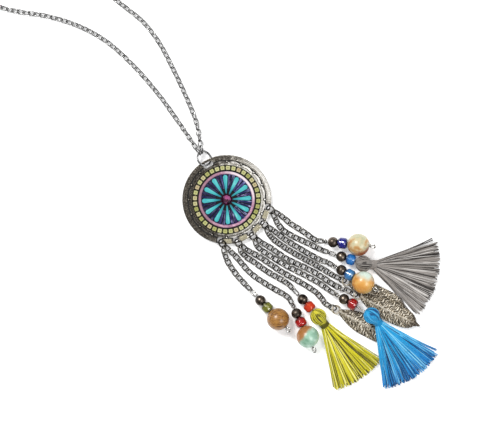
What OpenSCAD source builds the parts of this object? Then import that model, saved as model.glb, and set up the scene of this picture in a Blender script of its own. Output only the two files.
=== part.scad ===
// Tassel necklace laid on a flat surface, seen from above with the neck chain running to the upper left.
// The origin is the middle of the pendant's flat back, which lies on the surface, with +Z up.

/* [Pendant] */
// Outside diameter of the round pendant
pendant_d = 32; // [29:0.5:38]
// Thickness of the thin rim that carries the rings
rim_t = 0.6; // [0.5:0.05:0.7]
// Height of the rim's underside above the flat back
rim_lift = 1.15; // [1.1:0.05:1.5]
// Height of the bright band above the flat back
band_h = 2.35; // [2.2:0.05:3]
// Depth of the seat for the enamel below the bright band
seat_depth = 0.75; // [0.5:0.05:0.9]
// Number of wide petals round the centre stone
petal_count = 12; // [8:1:14]
// Width of a wide petal at its round tip
petal_w = 1.6; // [1.2:0.1:1.8]
// Number of square tiles in the outer ring
tile_count = 36; // [24:1:38]
// Side of one square tile
tile_w = 1.5; // [1:0.05:1.6]
// Number of raised dots round the band
dot_count = 16; // [8:1:20]
// Diameter of one raised dot
dot_d = 0.9; // [0.6:0.05:1]
// Diameter of the centre stone
gem_d = 3.3; // [2.6:0.1:3.6]

/* [Rings] */
// Diameter of a rim ring along the middle of its wire
rim_ring_d = 3.3; // [3.1:0.1:3.6]
// Wire of the rim rings
rim_ring_wire = 0.55; // [0.45:0.05:0.65]
// Diameter of the top ring along the middle of its wire
top_ring_d = 5.2; // [4.8:0.1:6]
// Wire of the top ring
top_ring_wire = 0.7; // [0.6:0.05:0.8]
// Diameter of a leaf ring along the middle of its wire
leaf_ring_d = 2.8; // [2.6:0.1:3.2]
// Wire of the leaf rings
leaf_ring_wire = 0.5; // [0.4:0.05:0.55]

/* [Chains] */
// Length of a link of the fringe chains over its wire
drop_link_len = 3.7; // [3.5:0.1:4]
// Width of a link of the fringe chains over its wire
drop_link_w = 2.5; // [2.4:0.1:2.7]
// Wire of the fringe chains
drop_link_wire = 0.55; // [0.4:0.05:0.6]
// Length of a link of the neck chain over its wire
neck_link_len = 3.1; // [2.8:0.1:3.4]
// Width of a link of the neck chain over its wire
neck_link_w = 2; // [1.9:0.1:2.3]
// Wire of the neck chain
neck_link_wire = 0.45; // [0.4:0.05:0.55]
// Length of the clasp
clasp_len = 9; // [7:0.5:12]
// Width of the clasp
clasp_w = 3.6; // [3.4:0.1:4.4]
// Wire of the clasp
clasp_wire = 0.8; // [0.6:0.05:0.9]

/* [Beads] */
// Diameter of a round stone
stone_d = 8; // [7:0.1:8.6]
// Diameter of a metal bead
metal_bead_d = 3.8; // [3.2:0.1:4.2]
// Diameter of a glass bead
glass_bead_d = 4; // [3.6:0.1:4.2]
// Length of a glass bead along its hole
glass_bead_len = 3.3; // [2.8:0.1:3.6]
// Wire that the beads are threaded on
pin_wire = 0.5; // [0.4:0.05:0.6]
// Width of the eye at the end of a bead wire, over its wire
eye_w = 2.1; // [2:0.1:2.3]

/* [Leaves] */
// Length of a leaf from its hole to its tip
leaf_len = 24.5; // [20:0.5:25]
// Width of a leaf across its widest part
leaf_w = 7.6; // [6:0.2:8]
// Thickness of a leaf
leaf_t = 0.6; // [0.5:0.05:0.7]
// Height of the barbs above the leaf
barb_h = 0.2; // [0.1:0.05:0.3]

/* [Tassels] */
// Diameter of a tassel's round head
head_d = 5.9; // [5:0.1:6]
// Diameter of the bound neck below the head
neck_d = 3.2; // [2.6:0.1:3.6]
// Length of a skirt from the neck to its ends
skirt_len = 23.4; // [18:0.2:25]
// Thickness of a skirt near its ends
skirt_t = 1.5; // [1:0.1:2]

/* [Layout] */
// Length of the fringe from the rim to the far tassel's head
fringe_len = 50; // [48:0.5:54]
// Bearing of the middle rim hole, counted anticlockwise from +X
fringe_bearing = -55; // [-57:0.5:-53]
// Bearing of the top ring's slot
top_bearing = 118; // [112:1:122]

/* [Hidden] */
$fn = 32;

// Running clearances between pieces
link_gap = 0.16;
bead_gap = 0.1;
seat_gap = 0.03;
ring_clear = 0.22;
lay_gap = 0.15;

pendant_r = pendant_d / 2;
rim_ring_r = rim_ring_d / 2;
top_ring_r = top_ring_d / 2;
leaf_ring_r = leaf_ring_d / 2;
stone_r = stone_d / 2;
metal_r = metal_bead_d / 2;
glass_r = glass_bead_d / 2;
head_r = head_d / 2;
neck_r = neck_d / 2;

// Radii of the pendant's rings, as shares of its own radius
back_r = 0.79 * pendant_r;
band_in = 0.767 * pendant_r;
band_out = 0.81 * pendant_r;
groove_in = 0.825 * pendant_r;
groove_out = 0.885 * pendant_r;
lip_in = 0.968 * pendant_r;
pink_in = 0.572 * pendant_r;
pink_out = 0.634 * pendant_r;
tile_mid = 0.714 * pendant_r;
petal_tip = 0.552 * pendant_r;

rim_mid = rim_lift + rim_t / 2;
rim_top = rim_lift + rim_t;
seat_z = band_h - seat_depth;
field_t = 0.3 * seat_depth;
petal_z = seat_z + field_t + 2 * seat_gap;
petal_t = 0.55 * seat_depth;
petal_turn = 3.5;
tile_turn = 2.5;
gem_r = gem_d / 2;
cup_wall = 0.35;
cup_r = gem_r + cup_wall + seat_gap;
cup_h = petal_z + petal_t;

// The rim rings stand at this tilt from upright, and the top ring leans over further
rim_ring_tilt = 45;
top_ring_tilt = 60;
top_ring_rise = 5;
hole_r = rim_t / 2 * tan(rim_ring_tilt) + rim_ring_wire / 2 / cos(rim_ring_tilt) + ring_clear;
hole_wall = 0.4;
lip_h = 0.05;
hole_at_r = pendant_r - hole_r - hole_wall;
hole_count = 5;
hole_pitch = 22.5;
slot_w = top_ring_wire + 5 * ring_clear;
slot_len = rim_t * tan(top_ring_tilt) + top_ring_wire / cos(top_ring_tilt) + 6 * ring_clear;
slot_at_r = pendant_r - slot_w / 2 - 0.9;

// Leaves: the hole is sized for a ring that leans in it, and the ring end is lifted by the ring
leaf_ring_lean = 54;
leaf_hole_r = leaf_t / 2 * tan(leaf_ring_lean) + leaf_ring_wire / 2 / cos(leaf_ring_lean) + ring_clear;
leaf_tab_r = leaf_hole_r + 0.65;
leaf_pitch = 2;
leaf_ring_rise = 7;
leaf_rise = leaf_len * sin(leaf_pitch);
leaf_top = leaf_t + barb_h + leaf_rise;

// Links lie this far from flat, to one side and the other in turn, and further at the ends of a strand
link_lean = 32;
end_link_lean = 45;

// Heights at which chains rest
drop_rest_z = (drop_link_w - drop_link_wire) / 2 * sin(link_lean) + drop_link_wire / 2;
neck_tube_r = neck_link_w * 0.45;

// What hangs on a strand
STONE = 0;
TASSEL = 1;
LEAF = 2;

// The ten strands, in order clockwise round the rim. The columns are: what hangs on it, its bearing from
// the pendant, its reach past the rim as a share of fringe_len, the heading of its wire, the length of the
// wire's eye, spare wire before the last piece, the lift of its metal bead, and the lift of its last piece
// in leaf thicknesses of what lies under it.
STRANDS = [
    [STONE, -18.9, 0.678, -5.5, 1.6, 0, 0, 0],
    [TASSEL, 0, 0, -18, 3, 0, 0, 0],
    [STONE, 0, 0, -28.9, 1.8, 0, 0.7, 0.9],
    [LEAF, -34.45, 0.719, -25.3, 0, 0, 0, 0],
    [LEAF, -36.15, 0.843, -26.1, 0, 0, 0, 1.2],
    [TASSEL, -38.5, 1.006, -30.1, 1.8, 3.3, 0.75, 1.2],
    [LEAF, -45.1, 0.792, -28, 0, 0, 0, 0],
    [TASSEL, -51.8, 0.744, -47, 3.4, 0, 0, 0],
    [STONE, -59.2, 0.82, -63.5, 1.8, 0, 0, 0],
    [STONE, -66.5, 0.612, -45.7, 3.4, 0, 0.15, 0],
];
function kind(i) = STRANDS[i][0];
function bearing(i) = STRANDS[i][1];
function reach(i) = STRANDS[i][2];
function heading(i) = STRANDS[i][3];
function eye_len(i) = STRANDS[i][4];
function spare(i) = STRANDS[i][5];
function bead_lift(i) = STRANDS[i][6];
function layers(i) = STRANDS[i][7];

// Places that a strand's chain passes, as shares of its run and sideways bow as shares of the run
BOWS = [
    [[0.35, -0.036], [0.6, -0.036]],
    [[0.22, -0.117], [0.42, -0.115], [0.68, -0.066]],
    [[0.25, -0.027], [0.5, -0.032], [0.8, -0.028]],
    [[0.22, -0.067], [0.45, -0.057], [0.75, -0.024]],
    [[0.2, -0.011], [0.32, -0.026], [0.6, -0.008], [0.85, -0.021]],
    [[0.22, -0.051], [0.4, -0.046], [0.62, -0.018], [0.82, 0]],
    [[0.2, 0.007], [0.45, 0.009], [0.68, 0.03], [0.86, 0.03]],
    [[0.24, -0.056], [0.54, -0.04], [0.78, 0]],
    [[0.2, -0.01], [0.42, -0.042], [0.7, -0.006]],
    [[0.32, -0.088], [0.62, -0.076]],
];

// The tassels' skirts. The columns are: strand, bearing from head to neck, heading of the skirt,
// half its spread, and the share of its length over which it stays above what lies under it.
SKIRTS = [
    [1, -6, -15, 32, 0],
    [5, -48, -57, 26, 0.38],
    [7, -54, -56.5, 21, 0],
];

// Places that the two legs of the neck chain pass, in millimetres on the surface
LEFT_ROUTE = [
    [-15.5, 25], [-20, 31.5], [-24.8, 38], [-33, 47.5], [-43, 56.7], [-53.3, 62.6], [-65, 66.4],
    [-77, 68.4], [-88, 71.5], [-106, 77], [-128, 82], [-152, 86], [-177, 89], [-201, 93],
    [-223, 100], [-241, 111], [-254, 127], [-258, 146],
];
RIGHT_ROUTE = [
    [-11.2, 28.3], [-15.5, 38.7], [-20, 48.1], [-24.4, 56.4], [-30.4, 64.2], [-38.5, 70.8],
    [-48, 79], [-57, 91], [-67, 106], [-80, 122], [-97, 137], [-119, 152], [-144, 164],
    [-171, 174], [-199, 180], [-226, 180],
];
CLASP_AT = [-246, 166];
clasp_heading = 50;
neck_stations = 38;

function unit(v) = v / norm(v);
function flat(a) = [cos(a), sin(a), 0];
function at_z(p, z) = [p.x, p.y, z];
function turn(v, a) = [v.x * cos(a) - v.y * sin(a), v.x * sin(a) + v.y * cos(a), 0];

// A frame at c with x along the given direction and y rolled up from the horizontal
function frame(c, along, roll) =
    let (x = unit(along), side = unit(cross([0, 0, 1], x)), up = cross(x, side))
    let (y = side * cos(roll) + up * sin(roll), z = cross(x, y))
    [[x.x, y.x, z.x, c.x], [x.y, y.y, z.y, c.y], [x.z, y.z, z.z, c.z], [0, 0, 0, 1]];

// A point on a smooth curve through four points, between the middle two
function catmull(a, b, c, d, t) =
    0.5 * (2 * b + (c - a) * t + (2 * a - 5 * b + 4 * c - d) * t * t + (3 * b - a - 3 * c + d) * t * t * t);

// A smooth curve through all the points, with the given steps from one to the next
function curve(p, steps) =
    let (n = len(p) - 1)
    let (before = 2 * p[0] - p[1], after = 2 * p[n] - p[n - 1])
    concat(
        [for (i = [0:n - 1]) for (k = [0:steps - 1])
            catmull(i == 0 ? before : p[i - 1], p[i], p[i + 1], i == n - 1 ? after : p[i + 2], k / steps)],
        [p[n]]
    );

// The length of a path up to each of its points
function lengths(p) =
    [for (i = 0, s = 0; i < len(p); i = i + 1, s = i < len(p) ? s + norm(p[i] - p[i - 1]) : s) s];

// The point of a path at a length from its start
function along(p, marks, s) =
    let (rows = [for (axis = [0:2]) [for (i = [0:len(p) - 1]) [marks[i], p[i][axis]]]])
    [lookup(s, rows[0]), lookup(s, rows[1]), lookup(s, rows[2])];

// An even step from 0 to 1
function ease(t) = let (u = min(max(t, 0), 1)) u * u * (3 - 2 * u);

// A path on the surface that starts and ends at other heights and settles to rest_z in between
function settled(p, z0, z1, rest_z, ramp) =
    let (marks = lengths([for (q = p) at_z(q, 0)]), total = marks[len(p) - 1])
    [for (i = [0:len(p) - 1])
        at_z(p[i], rest_z + (z0 - rest_z) * ease(1 - marks[i] / ramp)
            + (z1 - rest_z) * ease(1 - (total - marks[i]) / ramp))];

// Where a ring that passes through a hole has its middle: out from the hole, and up by its rise
function ring_centre(hole, out, seat, r, rise) =
    hole + out * (seat + r * cos(rise)) + [0, 0, r * sin(rise)];

// The rim rings lean from their own bearing towards the fall of the strands
function hole_bearing(k) = fringe_bearing + (2 - k) * hole_pitch;
function hole_at(k) = at_z(hole_at_r * flat(hole_bearing(k)), rim_mid);
function rim_ring_heading(k) = fringe_bearing + 7 + 0.17 * (2 - k) * hole_pitch;
ring_seat = ring_clear / 2;
function rim_ring_centre(k) = ring_centre(hole_at(k), flat(rim_ring_heading(k)), ring_seat, rim_ring_r, 0);

// Where the first link of a strand sits inside its rim ring, counted round the ring, and how far the
// link turns from the ring's heading: the first of the pair high, the other low
HOOKS = [[20, 13], [-26, -24]];
function strand_start(i) =
    let (k = floor(i / 2), a = HOOKS[i % 2][0], out = flat(rim_ring_heading(k)))
    let (across = turn(out, 90) * sin(rim_ring_tilt) + [0, 0, cos(rim_ring_tilt)])
    rim_ring_centre(k) + (rim_ring_r - rim_ring_wire / 2 - drop_link_wire / 2 - link_gap)
        * (out * cos(a) + across * sin(a));
function strand_lead(i) = flat(rim_ring_heading(floor(i / 2)) + HOOKS[i % 2][1]);

// Distances along a bead wire
metal_to_glass = metal_r + bead_gap + glass_bead_len / 2;
function glass_to_end(i) = glass_bead_len / 2 + bead_gap + end_r(i) + spare(i);
function end_r(i) = kind(i) == STONE ? stone_r : head_r;
function end_z(i) = end_r(i) + layers(i) * (leaf_top + lay_gap);

// Where the last piece of a strand lies. The grey tassel lies against the first stone, and the ochre
// stone against the grey tassel.
function beside(p, p_r, q_r, q_z, direction) =
    at_z(p + flat(direction) * sqrt(pow(p_r + q_r + lay_gap, 2) - pow(q_z - p.z, 2)), q_z);
function placed(i) = (pendant_r + reach(i) * fringe_len) * flat(bearing(i));
function end_at(i) =
    i == 1 ? beside(end_at(0), stone_r, head_r, end_z(1), -75.3)
    : i == 2 ? beside(end_at(1), head_r, stone_r, end_z(2), -90.6)
    : kind(i) == LEAF ? at_z(placed(i), leaf_rise + leaf_t / 2 + layers(i) * (leaf_t + barb_h))
    : at_z(placed(i), end_z(i));

// The metal bead of a strand, and the direction of its wire, which slopes up to the larger last piece
function metal_at(i) =
    let (run = metal_to_glass + glass_to_end(i), z = metal_r + bead_lift(i), e = end_at(i))
    at_z(e - flat(heading(i)) * sqrt(run * run - pow(e.z - z, 2)), z);
function wire_way(i) = unit(end_at(i) - metal_at(i));
function eye_outer(i) = metal_at(i) - wire_way(i) * (metal_r + bead_gap + pin_wire / 2);
function eye_inner(i) = eye_outer(i) - wire_way(i) * eye_len(i);

// A leaf's ring slopes up from the leaf
function leaf_ring_centre(i) =
    ring_centre(end_at(i), -flat(heading(i)), ring_seat, leaf_ring_r, leaf_ring_rise);
function leaf_ring_way(i) = flat(heading(i)) * cos(leaf_ring_rise) - [0, 0, sin(leaf_ring_rise)];

// Where the last link of a strand's chain ends, inside the eye or the leaf ring
function strand_end(i) =
    kind(i) == LEAF
    ? leaf_ring_centre(i) - leaf_ring_way(i)
        * (leaf_ring_r - leaf_ring_wire / 2 - drop_link_wire / 2 - link_gap)
    : eye_inner(i) + wire_way(i) * (pin_wire / 2 + drop_link_wire / 2 + link_gap);

// A strand's whole path. Its first and last links point along the ring and the wire that hold them.
drop_ramp = 8;
function strand_path(i) =
    let (a = strand_start(i), b = strand_end(i), run = at_z(b - a, 0), side = turn(run, 90))
    let (knots = concat(
        [a, a + strand_lead(i) * drop_reach],
        [for (q = BOWS[i]) a + run * q[0] + side * q[1]],
        [b - flat(heading(i)) * drop_reach, b]
    ))
    settled(curve([for (p = knots) at_z(p, 0)], 12), a.z, b.z, drop_rest_z, drop_ramp);

// Links along a path: how far one link reaches, how far it hooks into the next, and how many fit
drop_reach = drop_link_len - drop_link_wire;
drop_hook = drop_link_wire + link_gap;
function link_count(total) = ceil((total - drop_hook) / (drop_reach - drop_hook));
// A leaf's chain has an odd number of links, so that every leaf ring leans the same way
function strand_links(i) =
    let (m = lengths(strand_path(i)), n = link_count(m[len(m) - 1])) kind(i) == LEAF ? n + 1 - n % 2 : n;
function link_roll(n, count) =
    let (lean = link_lean + (end_link_lean - link_lean) * ease(1 - min(n, count - 1 - n) / 2))
    n % 2 == 0 ? -lean : lean;
function end_roll(i) = let (count = strand_links(i)) -link_roll(count - 1, count);

// The top ring and the ends of the two legs, whose end links are a size larger
top_out = flat(top_bearing + 5);
top_way = top_out * cos(top_ring_rise) + [0, 0, sin(top_ring_rise)];
slot_at = at_z(slot_at_r * flat(top_bearing), rim_mid);
top_ring_centre = ring_centre(slot_at, top_out, ring_seat, top_ring_r, top_ring_rise);
neck_hook_angle = 12;
top_left = turn(top_out, 90);
top_across = top_left * sin(top_ring_tilt) + cross(top_way, top_left) * cos(top_ring_tilt);
end_link_len = 1.1 * neck_link_len;
end_link_w = 1.15 * neck_link_w;
end_link_reach = end_link_len - neck_link_wire;
function neck_start(side) =
    top_ring_centre + (top_ring_r - top_ring_wire / 2 - neck_link_wire / 2 - link_gap)
        * (top_way * cos(neck_hook_angle) + top_across * side * sin(neck_hook_angle));
clasp_z = (clasp_w - clasp_wire) / 2 * sin(45) + clasp_wire / 2;
clasp_at = at_z(CLASP_AT, clasp_z);

// One leg: an end link in the top ring, the run of the chain, and an end link in the clasp
function leg(route, side) =
    let (a = neck_start(side), away = -side * flat(clasp_heading))
    let (a1 = a + end_link_reach * unit(at_z(route[0] - a, 0)))
    let (b = clasp_at + away * (clasp_len / 2 - clasp_wire - neck_link_wire / 2 - link_gap))
    let (b1 = b + away * end_link_reach)
    let (knots = concat([a1], route, [b1 + away * 2 * end_link_len, b1]))
    [a, a1, settled(curve([for (p = knots) at_z(p, 0)], 6), a1.z, b1.z, neck_tube_r, 12), b1, b];

// A closed round ring of wire in its own plane
module wire_ring(r, wire) {
    rotate_extrude() translate([r, 0]) circle(d = wire);
}

// A long link of wire with round ends, centred, lying along x with its width along y
module link(length, width, wire) {
    bend_r = (width - wire) / 2;
    for (side = [-1, 1]) {
        translate([side * (length - width) / 2, 0, 0]) rotate(-90 * side)
            rotate_extrude(angle = 180) translate([bend_r, 0]) circle(d = wire);
        if (length > width)
            translate([0, side * bend_r, 0]) rotate([0, 90, 0])
                cylinder(d = wire, h = length - width, center = true);
    }
}

// A straight round wire or drill from one point to another
module rod(a, b, d) {
    multmatrix(frame(a, b - a, 0)) rotate([0, 90, 0]) cylinder(d = d, h = norm(b - a));
}

// A ball with a hole along the given direction
module drilled_ball(c, way, r, bore) {
    multmatrix(frame(c, way, 0)) rotate([0, 90, 0]) difference() {
        sphere(r = r);
        cylinder(d = bore, h = 2 * r + 2, center = true);
    }
}

bore_d = 2 * pin_wire;
bar_len = 2.8;
bar_w = 1.5;

// The cast plate: flat back, thin rim with a lip, bright band, dots, bars, holes and the centre cup
module pendant_plate() {
    color("dimgray") difference() {
        union() {
            rotate_extrude() polygon([
                [0, 0], [back_r, 0], [back_r + 0.4, rim_lift], [pendant_r - 0.3, rim_lift],
                [pendant_r, rim_lift + 0.25], [pendant_r, rim_top], [pendant_r - 0.15, rim_top + lip_h],
                [lip_in, rim_top + lip_h], [lip_in - 0.2, rim_top], [groove_out + 0.1, rim_top],
                [groove_out, rim_mid], [groove_in, rim_mid], [groove_in - 0.1, band_h - 0.2],
                [band_out, band_h], [band_in + 0.1, band_h], [band_in, seat_z], [cup_r, seat_z],
                [cup_r, cup_h], [0, cup_h]
            ]);
            for (k = [0:dot_count - 1])
                translate(at_z((groove_in + groove_out) / 2 * flat(k * 360 / dot_count), rim_mid + 0.1))
                    sphere(d = dot_d);
            for (k = [0:hole_count - 2])
                rotate(hole_bearing(k) - hole_pitch / 2)
                    translate([groove_out - 0.1, -bar_len / 2, rim_mid])
                        cube([bar_w, bar_len, rim_t / 2 + 0.15]);
        }
        for (k = [0:hole_count - 1])
            translate(at_z(hole_at(k), 0)) cylinder(r = hole_r, h = band_h + 1);
        rotate(top_bearing) translate([slot_at_r, 0, 0]) {
            cube([slot_w, slot_len - slot_w, 4 * rim_top], center = true);
            for (side = [-1, 1])
                translate([0, side * (slot_len - slot_w) / 2, 0]) cylinder(d = slot_w, h = 2 * rim_top);
        }
        translate([0, 0, cup_h - 0.5]) cylinder(r = gem_r + seat_gap, h = 1);
    }
}

// The black field that the petals and tiles stand on
module enamel_field() {
    color("black") translate([0, 0, seat_z + seat_gap]) difference() {
        cylinder(r = band_in - 2 * seat_gap, h = field_t);
        translate([0, 0, -1]) cylinder(r = cup_r + seat_gap, h = field_t + 2);
    }
}

// Outline of one petal along x: narrow at its root and round at its tip
module petal_outline(root, tip, root_w, tip_w) {
    bend_x = tip - tip_w / 2;
    polygon([[root, -root_w / 2], [bend_x, -tip_w / 2], [bend_x, tip_w / 2], [root, root_w / 2]]);
    translate([bend_x, 0]) circle(d = tip_w);
}

module petals_turquoise() {
    hub_r = cup_r + seat_gap;
    color("turquoise") translate([0, 0, petal_z]) {
        difference() {
            cylinder(r = hub_r + 0.35, h = petal_t / 2);
            translate([0, 0, -1]) cylinder(r = hub_r, h = petal_t + 2);
        }
        for (k = [0:petal_count - 1])
            rotate(petal_turn + k * 360 / petal_count) linear_extrude(petal_t)
                petal_outline(hub_r + 0.2, petal_tip, 0.28 * petal_w, petal_w);
    }
}

// The dark petals stand in pairs between the wide ones, joined at a thin outer ring
module petals_dark() {
    ring_in = petal_tip + 0.1;
    step = 360 / petal_count;
    color("midnightblue") translate([0, 0, petal_z]) {
        difference() {
            cylinder(r = pink_in - seat_gap, h = petal_t / 2);
            translate([0, 0, -1]) cylinder(r = ring_in, h = petal_t + 2);
        }
        for (k = [0:petal_count - 1]) for (side = [-1, 1])
            rotate(petal_turn + (k + 0.5 + 0.155 * side) * step) linear_extrude(petal_t * 0.8)
                petal_outline(0.45 * petal_tip, ring_in + 0.1, 0.22 * petal_w, 0.62 * petal_w);
    }
}

module pink_ring() {
    mid = (pink_in + pink_out) / 2;
    half = (pink_out - pink_in) / 2 - seat_gap;
    color("pink") translate([0, 0, petal_z]) rotate_extrude()
        polygon([
            [mid - half, 0], [mid + half, 0], [mid + half, petal_t * 0.5], [mid + half * 0.5, petal_t],
            [mid - half * 0.5, petal_t], [mid - half, petal_t * 0.5]
        ]);
}

// Square tiles on one thin ring, each with a small square dimple
module tile_ring() {
    color("khaki") translate([0, 0, petal_z]) difference() {
        union() {
            difference() {
                cylinder(r = tile_mid + 0.12 * tile_w, h = petal_t * 0.25);
                translate([0, 0, -1]) cylinder(r = tile_mid - 0.12 * tile_w, h = petal_t + 2);
            }
            for (k = [0:tile_count - 1])
                rotate(tile_turn + (k + 0.5) * 360 / tile_count)
                    translate([tile_mid - tile_w / 2, -tile_w / 2, 0]) cube([tile_w, tile_w, petal_t]);
        }
        for (k = [0:tile_count - 1])
            rotate(tile_turn + (k + 0.5) * 360 / tile_count)
                translate([tile_mid - tile_w / 5, -tile_w / 5, 0.75 * petal_t])
                    cube([0.4, 0.4, 1] * tile_w);
    }
}

// A cut stone with a flat table, eight crown facets and eight pavilion facets
module centre_stone() {
    color("purple") translate([0, 0, cup_h - 0.5 + seat_gap]) {
        cylinder(r1 = gem_r * 0.6, r2 = gem_r * 0.96, h = 0.3, $fn = 8);
        translate([0, 0, 0.3]) cylinder(r = gem_r * 0.96, h = 0.2, $fn = 8);
        translate([0, 0, 0.5]) cylinder(r1 = gem_r * 0.96, r2 = gem_r * 0.55, h = 0.22 * gem_d, $fn = 8);
    }
}

module top_ring() {
    color("lightsteelblue") multmatrix(frame(top_ring_centre, top_way, 90 - top_ring_tilt))
        wire_ring(top_ring_r, top_ring_wire);
}

module rim_ring(k) {
    color("dimgray") multmatrix(frame(rim_ring_centre(k), flat(rim_ring_heading(k)), 90 - rim_ring_tilt))
        wire_ring(rim_ring_r, rim_ring_wire);
}

// Swept tube with eight sides, level sections and closed ends
module tube(path, r) {
    sides = 8;
    n = len(path);
    rings = [for (i = [0:n - 1])
        let (way = unit(path[min(i + 1, n - 1)] - path[max(i - 1, 0)]))
        let (side = unit(cross([0, 0, 1], way)), up = cross(way, side))
        for (k = [0:sides - 1])
            path[i] + r * (side * cos((k + 0.5) * 360 / sides) + up * sin((k + 0.5) * 360 / sides))];
    walls = [for (i = [0:n - 2]) for (k = [0:sides - 1])
        let (m = (k + 1) % sides) [i * sides + k, (i + 1) * sides + k, (i + 1) * sides + m, i * sides + m]];
    start = [for (k = [0:sides - 1]) k];
    end = [for (k = [sides - 1:-1:0]) (n - 1) * sides + k];
    polyhedron(points = rings, faces = concat([start], [end], walls), convexity = 10);
}

module neck_leg(route, side) {
    parts = leg(route, side);
    marks = lengths(parts[2]);
    total = marks[len(marks) - 1];
    color("silver") {
        multmatrix(frame((parts[0] + parts[1]) / 2, parts[1] - parts[0], -top_ring_tilt))
            link(end_link_len, end_link_w, neck_link_wire);
        tube([for (i = [0:neck_stations - 1]) along(parts[2], marks, total * i / (neck_stations - 1))],
            neck_tube_r);
        multmatrix(frame((parts[3] + parts[4]) / 2, parts[4] - parts[3], -45 * side))
            link(end_link_len, end_link_w, neck_link_wire);
    }
}

// A plain long link with a thicker sleeve on one side, at the back of the loop
module clasp() {
    color("silver") multmatrix(frame(clasp_at, flat(clasp_heading), 45)) {
        link(clasp_len, clasp_w, clasp_wire);
        translate([0, (clasp_w - clasp_wire) / 2, 0]) rotate([0, 90, 0])
            cylinder(d = 1.5 * clasp_wire, h = clasp_len / 3, center = true);
    }
}

module drop_chain(i) {
    path = strand_path(i);
    marks = lengths(path);
    total = marks[len(marks) - 1];
    count = strand_links(i);
    pitch = (total - drop_reach) / (count - 1);
    color("slategray") for (n = [0:count - 1]) {
        a = along(path, marks, n * pitch);
        b = along(path, marks, n * pitch + drop_reach);
        multmatrix(frame((a + b) / 2, b - a, link_roll(n, count)))
            link(drop_link_len, drop_link_w, drop_link_wire);
    }
}

// Where a bead wire ends: just past a stone, or inside a tassel's head
function pin_end(i) =
    kind(i) == STONE ? end_at(i) + wire_way(i) * (stone_r + bead_gap + pin_wire / 2)
    : end_at(i) - wire_way(i) * 0.1 * head_r;

module pin(i) {
    loop_len = 2.3;
    loop_w = 1.6;
    color("silver") {
        multmatrix(frame((eye_inner(i) + eye_outer(i)) / 2, wire_way(i), end_roll(i)))
            link(eye_len(i) + pin_wire, min(eye_w, eye_len(i) + pin_wire), pin_wire);
        rod(eye_outer(i), pin_end(i), pin_wire);
        if (kind(i) == STONE)
            multmatrix(frame(pin_end(i) + wire_way(i) * (loop_len - pin_wire) / 2, wire_way(i), 25))
                link(loop_len, loop_w, pin_wire);
    }
}

module metal_bead(i) {
    color("saddlebrown") drilled_ball(metal_at(i), wire_way(i), metal_r, bore_d);
}

module stone(i) {
    color("burlywood") drilled_ball(end_at(i), wire_way(i), stone_r, bore_d);
}

// A barrel bead with rounded ends
module glass_bead(i) {
    c = metal_at(i) + wire_way(i) * metal_to_glass;
    end_face_r = 0.72 * glass_r;
    color("red") multmatrix(frame(c, wire_way(i), 0)) rotate([0, 90, 0]) difference() {
        intersection() {
            cylinder(r = glass_r, h = glass_bead_len, center = true);
            sphere(r = norm([glass_bead_len / 2, end_face_r]));
        }
        cylinder(d = bore_d, h = 2 * glass_bead_len, center = true);
    }
}

// Half the width of a leaf at a share of its length: a full blade with a blunt end, then a narrow tip
leaf_tip_share = 0.07;
leaf_tip_w = 1.5;
function leaf_half(s) =
    let (u = min(s / (1 - leaf_tip_share), 1), past = min((1 - s) / leaf_tip_share, 1))
    let (blade = u < 0.5 ? pow(sin(180 * u), 0.9) : sqrt(1 - pow(2 * u - 1, 4)))
    max(leaf_w / 2 * blade, leaf_tip_w / 2 * (0.4 + 0.6 * past));
barb_count = 11;

// A leaf with its hole at the origin and its tip along x, with a raised rib and raised barbs
module leaf_shape() {
    steps = 16;
    root = 0.04;
    shares = [for (k = [0:steps]) root + (1 - root) * k / steps];
    outline = concat(
        [for (s = shares) [leaf_len * s, -leaf_half(s)]],
        [for (k = [steps:-1:0]) [leaf_len * shares[k], leaf_half(shares[k])]]
    );
    difference() {
        union() {
            linear_extrude(leaf_t) polygon(outline);
            cylinder(r = leaf_tab_r, h = leaf_t);
            translate([leaf_tab_r - 0.2, -0.35, 0])
                cube([0.9 * leaf_len - leaf_tab_r, 0.7, leaf_t + barb_h]);
            for (side = [-1, 1]) for (k = [0:barb_count - 1]) {
                s = 0.1 + 0.72 * k / barb_count;
                reach_s = s + 0.12;
                edge = 0.9 * min(leaf_half(reach_s), leaf_half(reach_s + 0.02));
                linear_extrude(leaf_t + barb_h) polygon([
                    [leaf_len * s, 0], [leaf_len * (s + 0.04), 0],
                    [leaf_len * (reach_s + 0.02), side * edge], [leaf_len * reach_s, side * edge]
                ]);
            }
        }
        translate([0, 0, -1]) cylinder(r = leaf_hole_r, h = leaf_t + 2);
    }
}

module leaf(i) {
    c = end_at(i);
    color("gray") translate(c) rotate(heading(i)) rotate([0, leaf_pitch, 0])
        translate([0, 0, -leaf_t / 2]) leaf_shape();
}

module leaf_ring(i) {
    color("lightsteelblue") multmatrix(frame(leaf_ring_centre(i), leaf_ring_way(i), 45))
        wire_ring(leaf_ring_r, leaf_ring_wire);
}

// One round section of a lock of threads
module lock_section(c, heading, half_w, half_t) {
    translate(c) rotate(heading) scale([0.5, half_w, half_t]) sphere(r = 1, $fn = 8);
}

lock_count = 9;
neck_past_head = 0.1 * head_d;
neck_above_ground = 0.05 * neck_d;

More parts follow.
